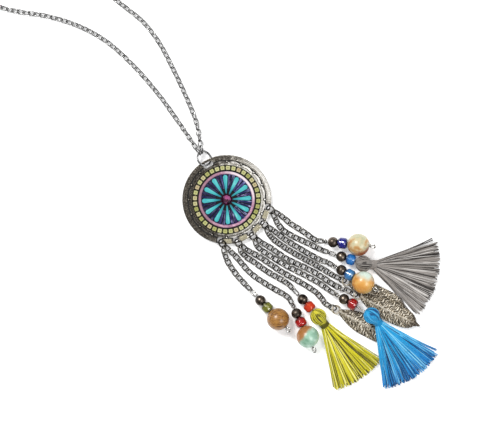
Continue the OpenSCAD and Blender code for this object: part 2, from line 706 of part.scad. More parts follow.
// Round head, bound neck and a fanned skirt of locks, drilled for the end of its wire
module tassel(row) {
    i = SKIRTS[row][0];
    way = SKIRTS[row][2];
    spread = SKIRTS[row][3];
    held = SKIRTS[row][4];
    head = end_at(i);
    ground = head.z - head_r;
    neck = at_z(head + flat(SKIRTS[row][1]) * (head_r + neck_past_head),
        ground * 0.9 + neck_r + neck_above_ground);
    // Share of the length, underside above the surface, thickness
    profile = [
        [0, neck.z - 0.9 * neck_r, 1.8 * neck_r],
        [max(held, 0.22), held > 0 ? ground * 0.9 : 0, 1.7 * skirt_t],
        [max(held + 0.25, 0.6), 0, 1.4 * skirt_t],
        [1, 0, skirt_t]
    ];
    color(["gray", "deepskyblue", "gold"][row]) difference() {
        union() {
            translate(head) sphere(r = head_r, $fn = 24);
            hull() {
                translate(head + (neck - head) * 0.55) sphere(r = neck_r * 1.15, $fn = 12);
                translate(neck) sphere(r = neck_r, $fn = 12);
            }
            for (k = [0:lock_count - 1]) {
                lane = 2 * k / (lock_count - 1) - 1;
                half_lock = 1.25 * spread / lock_count;
                a = way + lane * (spread - half_lock);
                ragged = 1 - 0.035 * ((k * 5) % 3);
                end_w = skirt_len * sin(half_lock) * 1.15;
                for (m = [0:2])
                    hull() for (row_at = [m, m + 1]) {
                        p = profile[row_at];
                        lock_section(
                            neck + turn(flat(way), 90) * lane * neck_r * 0.5
                                + flat(a) * p[0] * ragged * skirt_len + [0, 0, p[1] + p[2] / 2 - neck.z],
                            a, max(0.5 * neck_r, p[0] * end_w), p[2] / 2 * (k % 2 == 0 ? 1 : 0.88)
                        );
                    }
            }
        }
        rod(head - wire_way(i) * (head_r + 1), head, bore_d);
    }
}

pendant_plate();
enamel_field();
petals_turquoise();
petals_dark();
pink_ring();
tile_ring();
centre_stone();
top_ring();
neck_leg(LEFT_ROUTE, 1);  // neck_chain_left
neck_leg(RIGHT_ROUTE, -1);  // neck_chain_right
clasp();
for (k = [0:hole_count - 1])
    rim_ring(k);
for (i = [0:9])
    drop_chain(i);
for (i = [0:9]) if (kind(i) == STONE)
    stone(i);
for (row = [0:2])
    tassel(row);
for (i = [0:9]) if (kind(i) == LEAF) {
    leaf(i);
    leaf_ring(i);
}
for (i = [0:9]) if (kind(i) != LEAF) {
    pin(i);
    metal_bead(i);
    glass_bead(i);
}
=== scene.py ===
"""A tassel necklace laid flat: its metal, enamel, stone, glass and thread, seen from above."""

import logging
import math
import random
from dataclasses import dataclass, field
from enum import Enum

import bpy
from mathutils import Matrix, Vector


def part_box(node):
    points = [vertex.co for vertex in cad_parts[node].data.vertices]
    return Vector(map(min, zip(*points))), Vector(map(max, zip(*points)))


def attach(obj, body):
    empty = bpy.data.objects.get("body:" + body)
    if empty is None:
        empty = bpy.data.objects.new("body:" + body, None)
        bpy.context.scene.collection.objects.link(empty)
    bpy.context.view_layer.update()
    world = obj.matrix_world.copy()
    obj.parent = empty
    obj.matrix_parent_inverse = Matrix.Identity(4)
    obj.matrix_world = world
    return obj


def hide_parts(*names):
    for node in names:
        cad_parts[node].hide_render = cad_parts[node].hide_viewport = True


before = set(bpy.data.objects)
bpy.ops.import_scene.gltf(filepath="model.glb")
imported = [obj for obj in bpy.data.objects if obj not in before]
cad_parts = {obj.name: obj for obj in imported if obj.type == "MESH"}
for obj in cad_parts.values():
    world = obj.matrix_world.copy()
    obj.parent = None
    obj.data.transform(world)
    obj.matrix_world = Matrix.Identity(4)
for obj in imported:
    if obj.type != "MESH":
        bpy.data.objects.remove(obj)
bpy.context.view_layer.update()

log = logging.getLogger("necklace")
MM = 0.001
Piece = bpy.types.Object
Material = bpy.types.Material
Socket = bpy.types.NodeSocket
Stops = tuple[tuple[float, str], ...]
Places = tuple[tuple[float, float], ...]


class Side(Enum):
    """The two legs of the neck chain, by the side on which they lie."""

    LEFT = 1
    RIGHT = -1


def srgb(code: str) -> tuple[float, float, float, float]:
    """Turns a colour code into the linear colour that a shader takes.

    Args:
        code: Six hexadecimal digits, red first.

    Returns:
        Linear red, green, blue and an alpha of one.
    """
    parts = [int(code[i:i + 2], 16) / 255 for i in (0, 2, 4)]
    linear = [p / 12.92 if p <= 0.04045 else ((p + 0.055) / 1.055) ** 2.4 for p in parts]
    return (*linear, 1.0)


def flat(bearing: float) -> Vector:
    """A level unit vector at a bearing in degrees, anticlockwise from +X."""
    a = math.radians(bearing)
    return Vector((math.cos(a), math.sin(a), 0))


def ease(t: float) -> float:
    """An even step from 0 to 1."""
    u = min(max(t, 0.0), 1.0)
    return u * u * (3 - 2 * u)


def node_centre(node: str) -> Vector:
    """The middle of a CAD node's box, in millimetres."""
    low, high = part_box(node)
    return (low + high) / 2 / MM


def across(way: Vector) -> tuple[Vector, Vector]:
    """The level direction to the left of a direction, and the one that is up from both."""
    side = Vector((0, 0, 1)).cross(way).normalized()
    return side, way.cross(side)


def oriented(centre: Vector, along: Vector, roll: float) -> Matrix:
    """A place with its x along a direction and its y rolled up from the horizontal.

    Args:
        centre: The place, in millimetres.
        along: The direction of x.
        roll: Degrees from level.

    Returns:
        The matrix, in millimetres.
    """
    x = along.normalized()
    side, up = across(x)
    y = side * math.cos(math.radians(roll)) + up * math.sin(math.radians(roll))
    columns = Matrix((x, y, x.cross(y))).transposed().to_4x4()
    return Matrix.Translation(centre) @ columns


def nothing_selected() -> None:
    """Leaves edit mode and clears the selection, so that an operator acts on the new piece alone."""
    if bpy.context.object and bpy.context.object.mode != "OBJECT":
        bpy.ops.object.mode_set(mode="OBJECT")
    bpy.ops.object.select_all(action="DESELECT")


def placed(name: str, data: bpy.types.ID) -> Piece:
    """Puts a new object into the scene.

    Args:
        name: Its name.
        data: Its mesh, curve, light or camera.

    Returns:
        The object.
    """
    made = bpy.data.objects.new(name, data)
    bpy.context.collection.objects.link(made)
    return made


def picked(*pieces: Piece) -> Piece:
    """Selects these pieces alone.

    Args:
        *pieces: The pieces, with the one that gets active first.

    Returns:
        The first piece.
    """
    nothing_selected()
    for piece in pieces:
        piece.select_set(True)
    bpy.context.view_layer.objects.active = pieces[0]
    return pieces[0]


def joined(*pieces: Piece) -> Piece:
    """Joins pieces into the first of them.

    Args:
        *pieces: The pieces.

    Returns:
        The first piece, with the meshes of all.
    """
    picked(*pieces)
    bpy.ops.object.join()
    return pieces[0]


def triangles(piece: Piece) -> int:
    """The number of triangles in a mesh piece."""
    return sum(len(p.vertices) - 2 for p in piece.data.polygons)


def stored(mesh: bpy.types.Mesh, name: str, values: list[float]) -> None:
    """Stores a value on each vertex of a mesh, under a name that a finish reads."""
    mesh.attributes.new(name, "FLOAT", "POINT").data.foreach_set("value", values)


def seated(piece: Piece, name: str, material: Material, node: str) -> None:
    """Names a finished piece, dresses it and lets it stand for its CAD node.

    Args:
        piece: A mesh in metres, in its place.
        name: The piece's name.
        material: Its finish.
        node: The CAD node that it stands for.
    """
    piece.name = piece.data.name = name
    piece.data.materials.clear()
    piece.data.materials.append(material)
    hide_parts(node)
    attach(piece, "root")
    log.info("%s: %d triangles", name, triangles(piece))


class Paint:
    """The node tree of one material, with short calls for the nodes that the finishes share."""

    def __init__(self, name: str) -> None:
        """Starts a material whose coordinates are millimetres.

        Args:
            name: The material's name.
        """
        self.material = bpy.data.materials.new(name)
        self.material.use_nodes = True
        self.tree = self.material.node_tree
        self.shader = self.tree.nodes["Principled BSDF"]
        self.coords = self.tree.nodes.new("ShaderNodeTexCoord").outputs
        self.place = self.node(
            "ShaderNodeVectorMath", {0: self.coords["Object"], "Scale": 1 / MM}, operation="SCALE"
        ).outputs["Vector"]

    def node(self, kind: str, inputs: dict, **settings: object) -> bpy.types.Node:
        """Adds a node, with its settings and what feeds its inputs.

        Args:
            kind: The node's type.
            inputs: Input name or number, and a socket or a constant for it.
            **settings: Properties of the node.

        Returns:
            The node.
        """
        made = self.tree.nodes.new(kind)
        for key, value in settings.items():
            setattr(made, key, value)
        for key, value in inputs.items():
            self.feed(made.inputs[key], value)
        return made

    def feed(self, socket: Socket, value: object) -> None:
        """Links a socket to an input, or sets the constant there.

        Args:
            socket: The input.
            value: A socket or a constant.
        """
        if isinstance(value, Socket):
            self.tree.links.new(value, socket)
        else:
            socket.default_value = value

    def set(self, **inputs: object) -> None:
        """Feeds the shader's inputs, named with underscores for spaces."""
        for key, value in inputs.items():
            self.feed(self.shader.inputs[key.replace("_", " ")], value)

    def maths(self, operation: str, a: object, b: object = 0.0) -> Socket:
        """One sum of two values."""
        return self.node("ShaderNodeMath", {0: a, 1: b}, operation=operation).outputs[0]

    def plus(self, a: object, b: object) -> Socket:
        """Two values added."""
        return self.maths("ADD", a, b)

    def minus(self, a: object, b: object) -> Socket:
        """The second value taken from the first."""
        return self.maths("SUBTRACT", a, b)

    def times(self, a: object, b: object) -> Socket:
        """Two values multiplied."""
        return self.maths("MULTIPLY", a, b)

    def size(self, a: object) -> Socket:
        """A value without its sign."""
        return self.maths("ABSOLUTE", a)

    def moved(self, centre: Vector, turn: float = 0.0,
              scale: tuple[float, float, float] = (1, 1, 1)) -> Socket:
        """Coordinates about a centre, turned about z and then scaled.

        Args:
            centre: The new origin, in millimetres.
            turn: Degrees about z.
            scale: Factors on the turned axes.

        Returns:
            The coordinates.
        """
        shifted = self.node(
            "ShaderNodeVectorMath", {0: self.place, 1: tuple(centre)}, operation="SUBTRACT"
        ).outputs["Vector"]
        return self.node("ShaderNodeMapping", {
            "Vector": shifted, "Rotation": (0, 0, -math.radians(turn)), "Scale": scale,
        }).outputs["Vector"]

    def axes(self, vector: Socket | None = None) -> bpy.types.NodeOutputs:
        """The x, y and z of coordinates, or of the place where none are given."""
        return self.node("ShaderNodeSeparateXYZ", {0: vector or self.place}).outputs

    def distance(self, vector: Socket) -> Socket:
        """The distance of coordinates from their origin."""
        return self.node("ShaderNodeVectorMath", {0: vector}, operation="LENGTH").outputs["Value"]

    def polar(self, vector: Socket | None = None) -> tuple[Socket, Socket]:
        """Distance from the z axis and angle round it.

        Args:
            vector: The coordinates, or none for the place.

        Returns:
            The distance in millimetres, and the angle in turns from -0.5 to 0.5.
        """
        x, y, _ = self.axes(vector)
        squares = self.plus(self.times(x, x), self.times(y, y))
        angle = self.maths("ARCTAN2", y, x)
        return self.maths("SQRT", squares), self.maths("DIVIDE", angle, 2 * math.pi)

    def upright(self) -> Socket:
        """One where the surface faces up, zero where it is steep and less than zero below."""
        return self.axes(self.coords["Normal"])[2]

    def noise(self, scale: float, detail: float = 3.0, vector: Socket | None = None,
              distortion: float = 0.0) -> Socket:
        """Cloudy noise from 0 to 1.

        Args:
            scale: Patches to the millimetre.
            detail: Finer patches within them.
            vector: The coordinates, or none for the place.
            distortion: How far the patches are bent.

        Returns:
            The noise.
        """
        return self.node("ShaderNodeTexNoise", {
            "Vector": vector or self.place, "Scale": scale, "Detail": detail, "Distortion": distortion,
        }).outputs["Fac"]

    def streaks(self, r: Socket, turn: Socket, fine: float, long: float, detail: float) -> Socket:
        """Noise in streaks that run outwards from the z axis.

        Args:
            r: Distance from the axis, in millimetres.
            turn: Angle round it, in turns.
            fine: Streaks to the turn.
            long: Patches to the millimetre along a streak.
            detail: Finer patches within them.

        Returns:
            The noise.
        """
        fan = self.node("ShaderNodeCombineXYZ", {0: self.times(turn, fine), 1: self.times(r, long)})
        return self.noise(1.0, detail, fan.outputs[0])

    def chance(self, steps: Socket) -> Socket:
        """A random value from 0 to 1 for each whole step."""
        return self.node("ShaderNodeTexWhiteNoise", {"W": self.maths("FLOOR", steps)},
                         noise_dimensions="1D").outputs["Value"]

    def stored(self, name: str) -> Socket:
        """The value that is stored on the mesh under a name."""
        return self.node("ShaderNodeAttribute", {}, attribute_name=name).outputs["Fac"]

    def ramp(self, value: Socket, stops: Stops) -> Socket:
        """Colours along a value from 0 to 1.

        Args:
            value: What picks the colour.
            stops: Places and colour codes, in order.

        Returns:
            The colour.
        """
        made = self.node("ShaderNodeValToRGB", {0: value})
        elements = made.color_ramp.elements
        while len(elements) < len(stops):
            elements.new(1.0)
        for element, (at, code) in zip(elements, stops):
            element.position = at
            element.color = srgb(code)
        return made.outputs["Color"]

    def spread(self, value: Socket, low: float, high: float, to_low: float = 0.0,
               to_high: float = 1.0) -> Socket:
        """Maps a value's range smoothly onto another one and holds it there.

        Args:
            value: The value.
            low: Start of its range.
            high: End of its range.
            to_low: What the start becomes.
            to_high: What the end becomes.

        Returns:
            The mapped value.
        """
        return self.node("ShaderNodeMapRange", {
            "Value": value, "From Min": low, "From Max": high, "To Min": to_low, "To Max": to_high,
        }, interpolation_type="SMOOTHSTEP").outputs["Result"]

    def within(self, value: Socket, low: float, high: float, soft: float) -> Socket:
        """One between two values and zero outside them.

        Args:
            value: The value.
            low: Where the one starts.
            high: Where it ends.
            soft: Half the width of both edges.

        Returns:
            The ones and zeros.
        """
        rise = self.spread(value, low - soft, low + soft)
        fall = self.spread(value, high - soft, high + soft, 1.0, 0.0)
        return self.times(rise, fall)

    def mix(self, share: Socket, a: Socket | str, b: Socket | str) -> Socket:
        """A colour between two.

        Args:
            share: Share of the second colour.
            a: The first colour, or its code.
            b: The second colour, or its code.

        Returns:
            The colour.
        """
        first, second = (srgb(c) if isinstance(c, str) else c for c in (a, b))
        return self.node("ShaderNodeMix", {0: share, 6: first, 7: second}, data_type="RGBA").outputs[2]

    def bump(self, height: Socket, depth: float, strength: float) -> None:
        """Gives the shader a relief.

        Args:
            height: The relief, from 0 to 1.
            depth: Its depth, in millimetres.
            strength: Share of it that shows.
        """
        made = self.node("ShaderNodeBump", {
            "Height": height, "Distance": depth * MM, "Strength": strength,
        })
        self.feed(self.shader.inputs["Normal"], made.outputs["Normal"])


@dataclass(frozen=True)
class Finish:
    """What every finish has: a name, and a material that it lays from shader nodes.

    Attributes:
        name: The finish's name.
    """

    name: str

    def paint(self) -> Material:
        """Makes the material.

        Returns:
            The material.
        """
        p = Paint(self.name)
        self.lay(p)
        return p.material

    def lay(self, p: Paint) -> None:
        """Sets the nodes, which each kind of finish does in its own way."""
        raise NotImplementedError


@dataclass(frozen=True)
class AntiqueMetal(Finish):
    """Plated metal, rubbed bright in places and darkened in others, with a painted shade on its steep
    sides.

    Attributes:
        bright: Colour of the metal where it is rubbed bright.
        dark: Colour of the darkened metal, and of the painted shade on the steep sides.
        patches: Patches of tarnish to the millimetre.
        darkening: Share of the surface that is dark.
        roughness: Roughness of the metal where it is rubbed bright.
        shaded: How dark the painted shade on its steep sides is, from 0 to 1.
        duller: How much rougher the darkened metal is.
        steep: How far the surface faces up where the painted shade is full, and where it is gone.
    """

    bright: str
    dark: str
    patches: float
    darkening: float
    roughness: float
    shaded: float = 0.0
    duller: float = 0.22
    steep: tuple[float, float] = (0.45, 0.93)

    def lay(self, p: Paint) -> None:
        """Lays the tarnish in patches, and a painted shade on the steep sides.

        Args:
            p: The material's nodes.
        """
        cloud = p.noise(self.patches, 4.0)
        low = self.darkening - 0.1
        colour = p.ramp(cloud, ((low, self.dark), (low + 0.25, self.bright)))
        # Painted shade on the steep sides, darker the steeper they are.
        if self.shaded:
            colour = p.mix(p.spread(p.upright(), *self.steep, self.shaded, 0.0), colour, self.dark)
        p.set(Base_Color=colour, Metallic=1.0)
        p.set(Roughness=p.spread(cloud, low, low + 0.3, self.roughness + self.duller, self.roughness))
        p.bump(p.noise(6.0, 2.0), 0.03, 0.5)


@dataclass(frozen=True)
class CastPlate(Finish):
    """The pendant's cast plate: bright band, black scalloped groove, mottled rim and tan bars, with
    light painted on from the right.

    Pairs are an inner and an outer edge, as shares of the radius, where nothing else is said.

    Attributes:
        radius: The pendant's radius, in millimetres.
        bars: Bearings of the flat bars between the ring holes.
        holes: Bearings of the ring holes.
        dots: Number of raised dots in the groove.
        dot_ring: Distance of the dots from the middle, as a share of the radius.
        dot_shadow: Radius of the black round a dot, as a share of the radius.
        dot_top: Radius of a dot's top, which takes a painted highlight where the light falls, as a
            share of the radius.
        well: Where the dark of the enamels' well ends.
        band: The polished band round the well, with a painted highlight where the light falls.
        ledge: The ledge outside it, with a painted highlight where the light falls.
        groove: The black groove.
        groove_top: Heights between which its black ends, in millimetres.
        scallop: How far the dots push the ledge and the groove out and in.
        strip: The strip of the rim with a painted highlight at the upper right.
        strip_x: Places across over which that strip comes in, in millimetres.
        strip_y: The same up the picture.
        bar: The bars.
        bar_side: Where a bar ends at its sides, in turns from its bearing.
        hole_side: Where the dark beside a ring hole ends, in turns from its bearing.
        hole_in: Where that dark starts outwards.
        cup_r: Radius of the cup of the centre stone, in millimetres.
        black: Colour of the groove and round the dots.
        shine: Colour of the painted highlights on the ledge and the strip.
    """

    radius: float
    bars: tuple[float, ...]
    holes: tuple[float, ...]
    dots: int = 16
    dot_ring: float = 0.855
    dot_shadow: float = 0.034
    dot_top: float = 0.019
    well: tuple[float, float] = (0.755, 0.767)
    band: tuple[float, float] = (0.764, 0.82)
    ledge: tuple[float, float] = (0.818, 0.856)
    groove: tuple[float, float] = (0.856, 0.892)
    groove_top: tuple[float, float] = (1.6, 1.75)
    scallop: float = 0.012
    strip: tuple[float, float] = (0.925, 0.985)
    strip_x: tuple[float, float] = (5.0, 12.0)
    strip_y: tuple[float, float] = (-2.0, 2.0)
    bar: tuple[float, float] = (0.885, 0.985)
    bar_side: tuple[float, float] = (0.0135, 0.0155)
    hole_side: tuple[float, float] = (0.011, 0.016)
    hole_in: tuple[float, float] = (0.86, 0.88)
    cup_r: float = 2.3
    black: str = "0c0b0a"
    shine: str = "efece6"

    def spots(self, p: Paint, share: Socket, turn: Socket, size: float) -> Socket:
        """One within each raised dot of the groove, and zero elsewhere.

        Args:
            p: The material's nodes.
            share: Distance from the middle, as a share of the radius.
            turn: Angle in turns.
            size: Radius of the spots, as a share of the radius.

        Returns:
            The spots.
        """
        pitch = p.maths("FRACT", p.plus(p.times(turn, float(self.dots)), 0.5))
        beside = p.times(p.minus(pitch, 0.5), 2 * math.pi * self.dot_ring / self.dots)
        out = p.minus(share, self.dot_ring)
        squares = p.plus(p.times(beside, beside), p.times(out, out))
        return p.spread(p.maths("SQRT", squares), size * 0.8, size * 1.2, 1.0, 0.0)

    def lay(self, p: Paint) -> None:
        """Lays the rings about the pendant's middle, then the dark round the holes and the bars.

        Args:
            p: The material's nodes.
        """
        r, turn = p.polar()
        x, y, z = p.axes()
        share = p.maths("DIVIDE", r, self.radius)
        cloud, fine = p.noise(0.7, 6.0), p.noise(3.2, 4.0)
        light_tone = p.ramp(fine, ((0.3, "55504a"), (0.48, "9c978d"), (0.66, "d8d5cd")))
        shade_tone = p.ramp(fine, ((0.32, "1f1c19"), (0.52, "4d4841"), (0.74, "857f75")))
        # Painted light: lit is the mottle plus a lean from dark on the left to light on the right, and
        # the rim takes its light tone where lit is high.
        lit = p.spread(p.plus(p.times(x, 0.03), cloud), 0.32, 0.85)
        rim = p.mix(lit, shade_tone, light_tone)
        wave = p.maths("COSINE", p.times(turn, 2 * math.pi * self.dots))
        edge = p.plus(share, p.times(wave, self.scallop))
        groove = p.times(p.within(edge, *self.groove, 0.004), p.spread(z, *self.groove_top, 1.0, 0.0))
        colour = p.mix(groove, rim, self.black)
        # Painted highlights on the ledge where the light falls, and on the strip at the upper right.
        colour = p.mix(p.times(p.within(edge, *self.ledge, 0.004), lit), colour, self.shine)
        strip = p.times(p.within(share, *self.strip, 0.008), p.spread(x, *self.strip_x, 0.0, 0.75))
        colour = p.mix(p.times(strip, p.spread(y, *self.strip_y)), colour, self.shine)
        colour = p.mix(self.spots(p, share, turn, self.dot_shadow), colour, self.black)
        # Painted highlight on the dots' tops where the light falls.
        dot_top = p.mix(lit, "8b857b", "f4f2ed")
        colour = p.mix(self.spots(p, share, turn, self.dot_top), colour, dot_top)
        # The polished band takes its light colour only where lit is high: a painted highlight.
        polish = p.ramp(fine, ((0.3, "8d897f"), (0.6, "dedbd3")))
        colour = p.mix(p.within(share, *self.band, 0.004), colour, p.mix(lit, rim, polish))
        colour = p.mix(p.within(share, self.band[0], self.band[0] + 0.012, 0.002), colour, "0f0d0c")
        colour = p.mix(p.spread(share, *self.well, 1.0, 0.0), colour, "1a1815")
        colour = p.mix(p.spread(r, self.cup_r, self.cup_r + 0.15, 1.0, 0.0), colour, "2c0c20")
        outside = p.spread(share, *self.hole_in)
        for bearing in self.holes:
            gap = p.size(p.minus(turn, bearing / 360))
            beside = p.times(p.spread(gap, *self.hole_side, 0.9, 0.0), outside)
            colour = p.mix(beside, colour, "211d19")
        metal = p.ramp(fine, ((0.25, "857d68"), (0.7, "c6c0a6")))
        span = p.within(share, *self.bar, 0.004)
        for bearing in self.bars:
            gap = p.size(p.minus(turn, bearing / 360))
            colour = p.mix(p.times(p.spread(gap, *self.bar_side, 1.0, 0.0), span), colour, metal)
        p.set(Base_Color=colour, Metallic=p.spread(groove, 0.2, 0.8, 0.92, 0.2))
        p.set(Roughness=p.spread(fine, 0.3, 0.7, 0.5, 0.3))
        p.bump(p.plus(fine, p.times(cloud, 0.6)), 0.09, 0.8)


@dataclass(frozen=True)
class Enamel(Finish):
    """Glossy cold enamel with cloudy marks, and, where their colours are given, a painted shade on the
    left and a painted highlight on the upper right.

    Attributes:
        stops: Colours from its dark to its light marks.
        gloss: Weight of the clear coat.
        turned: Bearing of the first petal or tile edge, in degrees.
        light_tone: Colour of the painted highlight on the upper right, or none.
        shade_tone: Colour of the painted shade on the left, or none.
    """

    stops: Stops
    gloss: float
    turned: float = 0.0
    light_tone: str = ""
    shade_tone: str = ""

    def colour(self, p: Paint) -> Socket:
        """The enamel's colour.

        Args:
            p: The material's nodes.

        Returns:
            The colour.
        """
        x, y, _ = p.axes()
        colour = p.ramp(p.noise(1.1, 4.0), self.stops)
        # Painted shade on the left and painted highlight on the upper right.
        if self.shade_tone:
            colour = p.mix(p.spread(x, -9.0, 2.0, 0.7, 0.0), colour, self.shade_tone)
        if self.light_tone:
            colour = p.mix(p.spread(p.plus(x, y), 7.0, 14.0, 0.0, 0.8), colour, self.light_tone)
        return colour

    def lay(self, p: Paint) -> None:
        """Lays the colour under its clear coat.

        Args:
            p: The material's nodes.
        """
        p.set(Base_Color=self.colour(p), Roughness=p.spread(p.noise(2.0), 0.3, 0.7, 0.24, 0.4))
        p.set(Coat_Weight=self.gloss, Coat_Roughness=0.08, Specular_IOR_Level=0.3)
        p.bump(p.noise(1.6, 3.0), 0.08, 0.5)


@dataclass(frozen=True)
class WidePetals(Enamel):
    """Turquoise enamel that deepens towards the centre stone.

    Attributes:
        petals: Number of wide petals.
        root_r: Distance from the middle of the petals' roots, in millimetres.
        tip_r: The same of their tips.
    """

    petals: int = 12
    root_r: float = 2.4
    tip_r: float = 6.5

    def colour(self, p: Paint) -> Socket:
        """Turquoise with a darker root and streaks along each petal, and black round the stone.

        Args:
            p: The material's nodes.

        Returns:
            The colour.
        """
        r, turn = p.polar(p.moved(Vector(), self.turned))
        value = p.plus(p.times(p.streaks(r, turn, 60.0, 0.25, 3.0), 0.7),
                       p.spread(r, self.root_r, self.tip_r, -0.06, 0.2))
        pitch = p.maths("FRACT", p.plus(p.times(turn, float(self.petals)), 0.5))
        off = p.times(p.size(p.minus(pitch, 0.5)), p.times(r, 2 * math.pi / self.petals))
        root = p.spread(r, self.root_r, self.root_r + 0.15, 1.0, 0.0)
        hub = p.times(p.spread(off, 0.08, 0.16), root)
        return p.mix(hub, p.ramp(value, self.stops), "0b0a10")


@dataclass(frozen=True)
class NarrowPetals(Enamel):
    """Dark enamel, each petal a navy or purple of its own, and a deeper navy on the left, with a
    painted sheen in light streaks.

    Attributes:
        petals: Number of narrow petals.
        navy: Colour on the left.
        sheen_colour: Colour of the painted sheen in streaks along the petals.
    """

    petals: int = 24
    navy: str = "050a32"
    sheen_colour: str = "a9abd6"

    def colour(self, p: Paint) -> Socket:
        """One colour for each petal, with a painted sheen in lighter streaks along it, stronger
        towards the right.

        Args:
            p: The material's nodes.

        Returns:
            The colour.
        """
        r, turn = p.polar(p.moved(Vector(), self.turned))
        x = p.axes()[0]
        petal = p.ramp(p.chance(p.times(turn, float(self.petals))), self.stops)
        base = p.mix(p.spread(x, -6.0, 3.0, 0.75, 0.0), petal, self.navy)
        # Painted sheen: light streaks along the petals, faint on the left and strong on the right.
        light = p.spread(p.streaks(r, turn, 190.0, 0.4, 2.0), 0.52, 0.66)
        return p.mix(p.times(light, p.spread(x, -8.0, 8.0, 0.1, 0.85)), base, self.sheen_colour)


@dataclass(frozen=True)
class TileRow(Enamel):
    """Yellow-green tiles, each a little different, with a darker middle.

    Attributes:
        tiles: Number of tiles.
        radius: Radius of the ring of tiles, in millimetres.
        side: Side of one tile, in millimetres.
    """

    tiles: int = 36
    radius: float = 11.4
    side: float = 1.5

    def colour(self, p: Paint) -> Socket:
        """A shade for each tile, darker in its dimple and at its edges.

        Args:
            p: The material's nodes.

        Returns:
            The colour.
        """
        r, turn = p.polar(p.moved(Vector(), self.turned))
        steps = p.times(turn, float(self.tiles))
        base = p.ramp(p.chance(steps), self.stops)
        beside = p.times(p.minus(p.maths("FRACT", steps), 0.5), 2 * math.pi * self.radius / self.tiles)
        reach = p.maths("MAXIMUM", p.size(beside), p.size(p.minus(r, self.radius)))
        dimple = p.spread(reach, 0.2 * self.side, 0.27 * self.side, 0.55, 0.0)
        rim = p.spread(reach, 0.37 * self.side, 0.47 * self.side, 0.0, 0.8)
        return p.mix(rim, p.mix(dimple, base, "7d7a2c"), "3f401a")


@dataclass(frozen=True)
class PolishedStone(Finish):
    """A polished stone with patches or grain, and a cap of another colour on one side.

    Attributes:
        centre: The stone's middle, in millimetres.
        stops: Colours of the body.
        cap: Colour of the cap.
        cap_way: Direction of the cap from the middle.
        cap_from: Distance from the middle at which the cap starts, in millimetres.
        cap_soft: Half the width of the cap's edge.
        ragged: How far the cap's edge wanders, in millimetres.
        patches: Patches to the millimetre.
        grain: Stretch of the patches into grain, 1 for none.
        grain_way: Bearing of the grain.
    """

    centre: Vector
    stops: Stops
    cap: str
    cap_way: tuple[float, float, float]
    cap_from: float
    cap_soft: float
    ragged: float
    patches: float
    grain: float = 1.0
    grain_way: float = 0.0

    def lay(self, p: Paint) -> None:
        """Lays the patches of the body and the cap.

        Args:
            p: The material's nodes.
        """
        grained = p.moved(self.centre, self.grain_way, (1 / self.grain, 1, 1))
        cloud = p.noise(self.patches, 6.0, grained, 0.3)
        local = p.moved(self.centre)
        way = tuple(Vector(self.cap_way).normalized())
        depth = p.node(
            "ShaderNodeVectorMath", {0: local, 1: way}, operation="DOT_PRODUCT"
        ).outputs["Value"]
        wander = p.spread(p.noise(0.5, 3.0, local), 0.2, 0.8, -self.ragged, self.ragged)
        low, high = self.cap_from - self.cap_soft, self.cap_from + self.cap_soft
        cap = p.spread(p.plus(depth, wander), low, high)
        p.set(Base_Color=p.mix(cap, p.ramp(cloud, self.stops), self.cap))
        p.set(Roughness=p.spread(cloud, 0.2, 0.8, 0.3, 0.42), Coat_Weight=0.25, Coat_Roughness=0.15)
        p.bump(p.noise(1.8, 4.0), 0.04, 0.35)


@dataclass(frozen=True)
class BeadGlass(Finish):
    """Coloured glass of a small bead, deeper at its ends.

    Attributes:
        centre: The bead's middle, in millimetres.
        way: Bearing of its hole.
        deep: Colour at its ends.
        body: Colour of its middle.
        lining_and_glint: Colour of the painted glint along its hole, partly the silver that lines it.
    """

    centre: Vector
    way: float
    deep: str
    body: str
    lining_and_glint: str

    def lay(self, p: Paint) -> None:
        """Lays the glass, with a glint along the hole.

        Args:
            p: The material's nodes.
        """
        x, y, _ = p.axes(p.moved(self.centre, self.way))
        colour = p.mix(p.spread(p.size(x), 0.7, 1.7), self.body, self.deep)
        # Painted glint: a light band beside the hole, partly the silver that lines it.
        glint = p.within(p.plus(y, p.spread(p.noise(0.8), 0.3, 0.7, -0.3, 0.3)), 0.1, 0.6, 0.25)
        colour = p.mix(p.times(glint, 0.45), colour, self.lining_and_glint)
        p.set(Base_Color=colour, Roughness=0.1, IOR=1.5, Transmission_Weight=0.25)
        p.set(Coat_Weight=0.8, Coat_Roughness=0.03)
        p.bump(p.noise(0.9, 2.0), 0.05, 0.3)


@dataclass(frozen=True)
class CutStone(Finish):
    """The faceted stone in the middle of the pendant.

    Attributes:
        stops: Colours of its glints, from dark to light.
    """

    stops: Stops = ((0.1, "1c0413"), (0.5, "4f1235"), (0.85, "bb5a94"))

    def lay(self, p: Paint) -> None:
        """Lays a glint for each patch of facets.

        Args:
            p: The material's nodes.
        """
        patch = p.node("ShaderNodeTexVoronoi", {"Vector": p.place, "Scale": 0.9}).outputs["Color"]
        value = p.node("ShaderNodeSeparateColor", {0: patch}).outputs[0]
        p.set(Base_Color=p.ramp(value, self.stops), Roughness=0.06, IOR=1.6, Transmission_Weight=0.2)
        p.set(Coat_Weight=1.0, Coat_Roughness=0.02)
        p.bump(p.noise(1.2, 1.0), 0.05, 0.4)


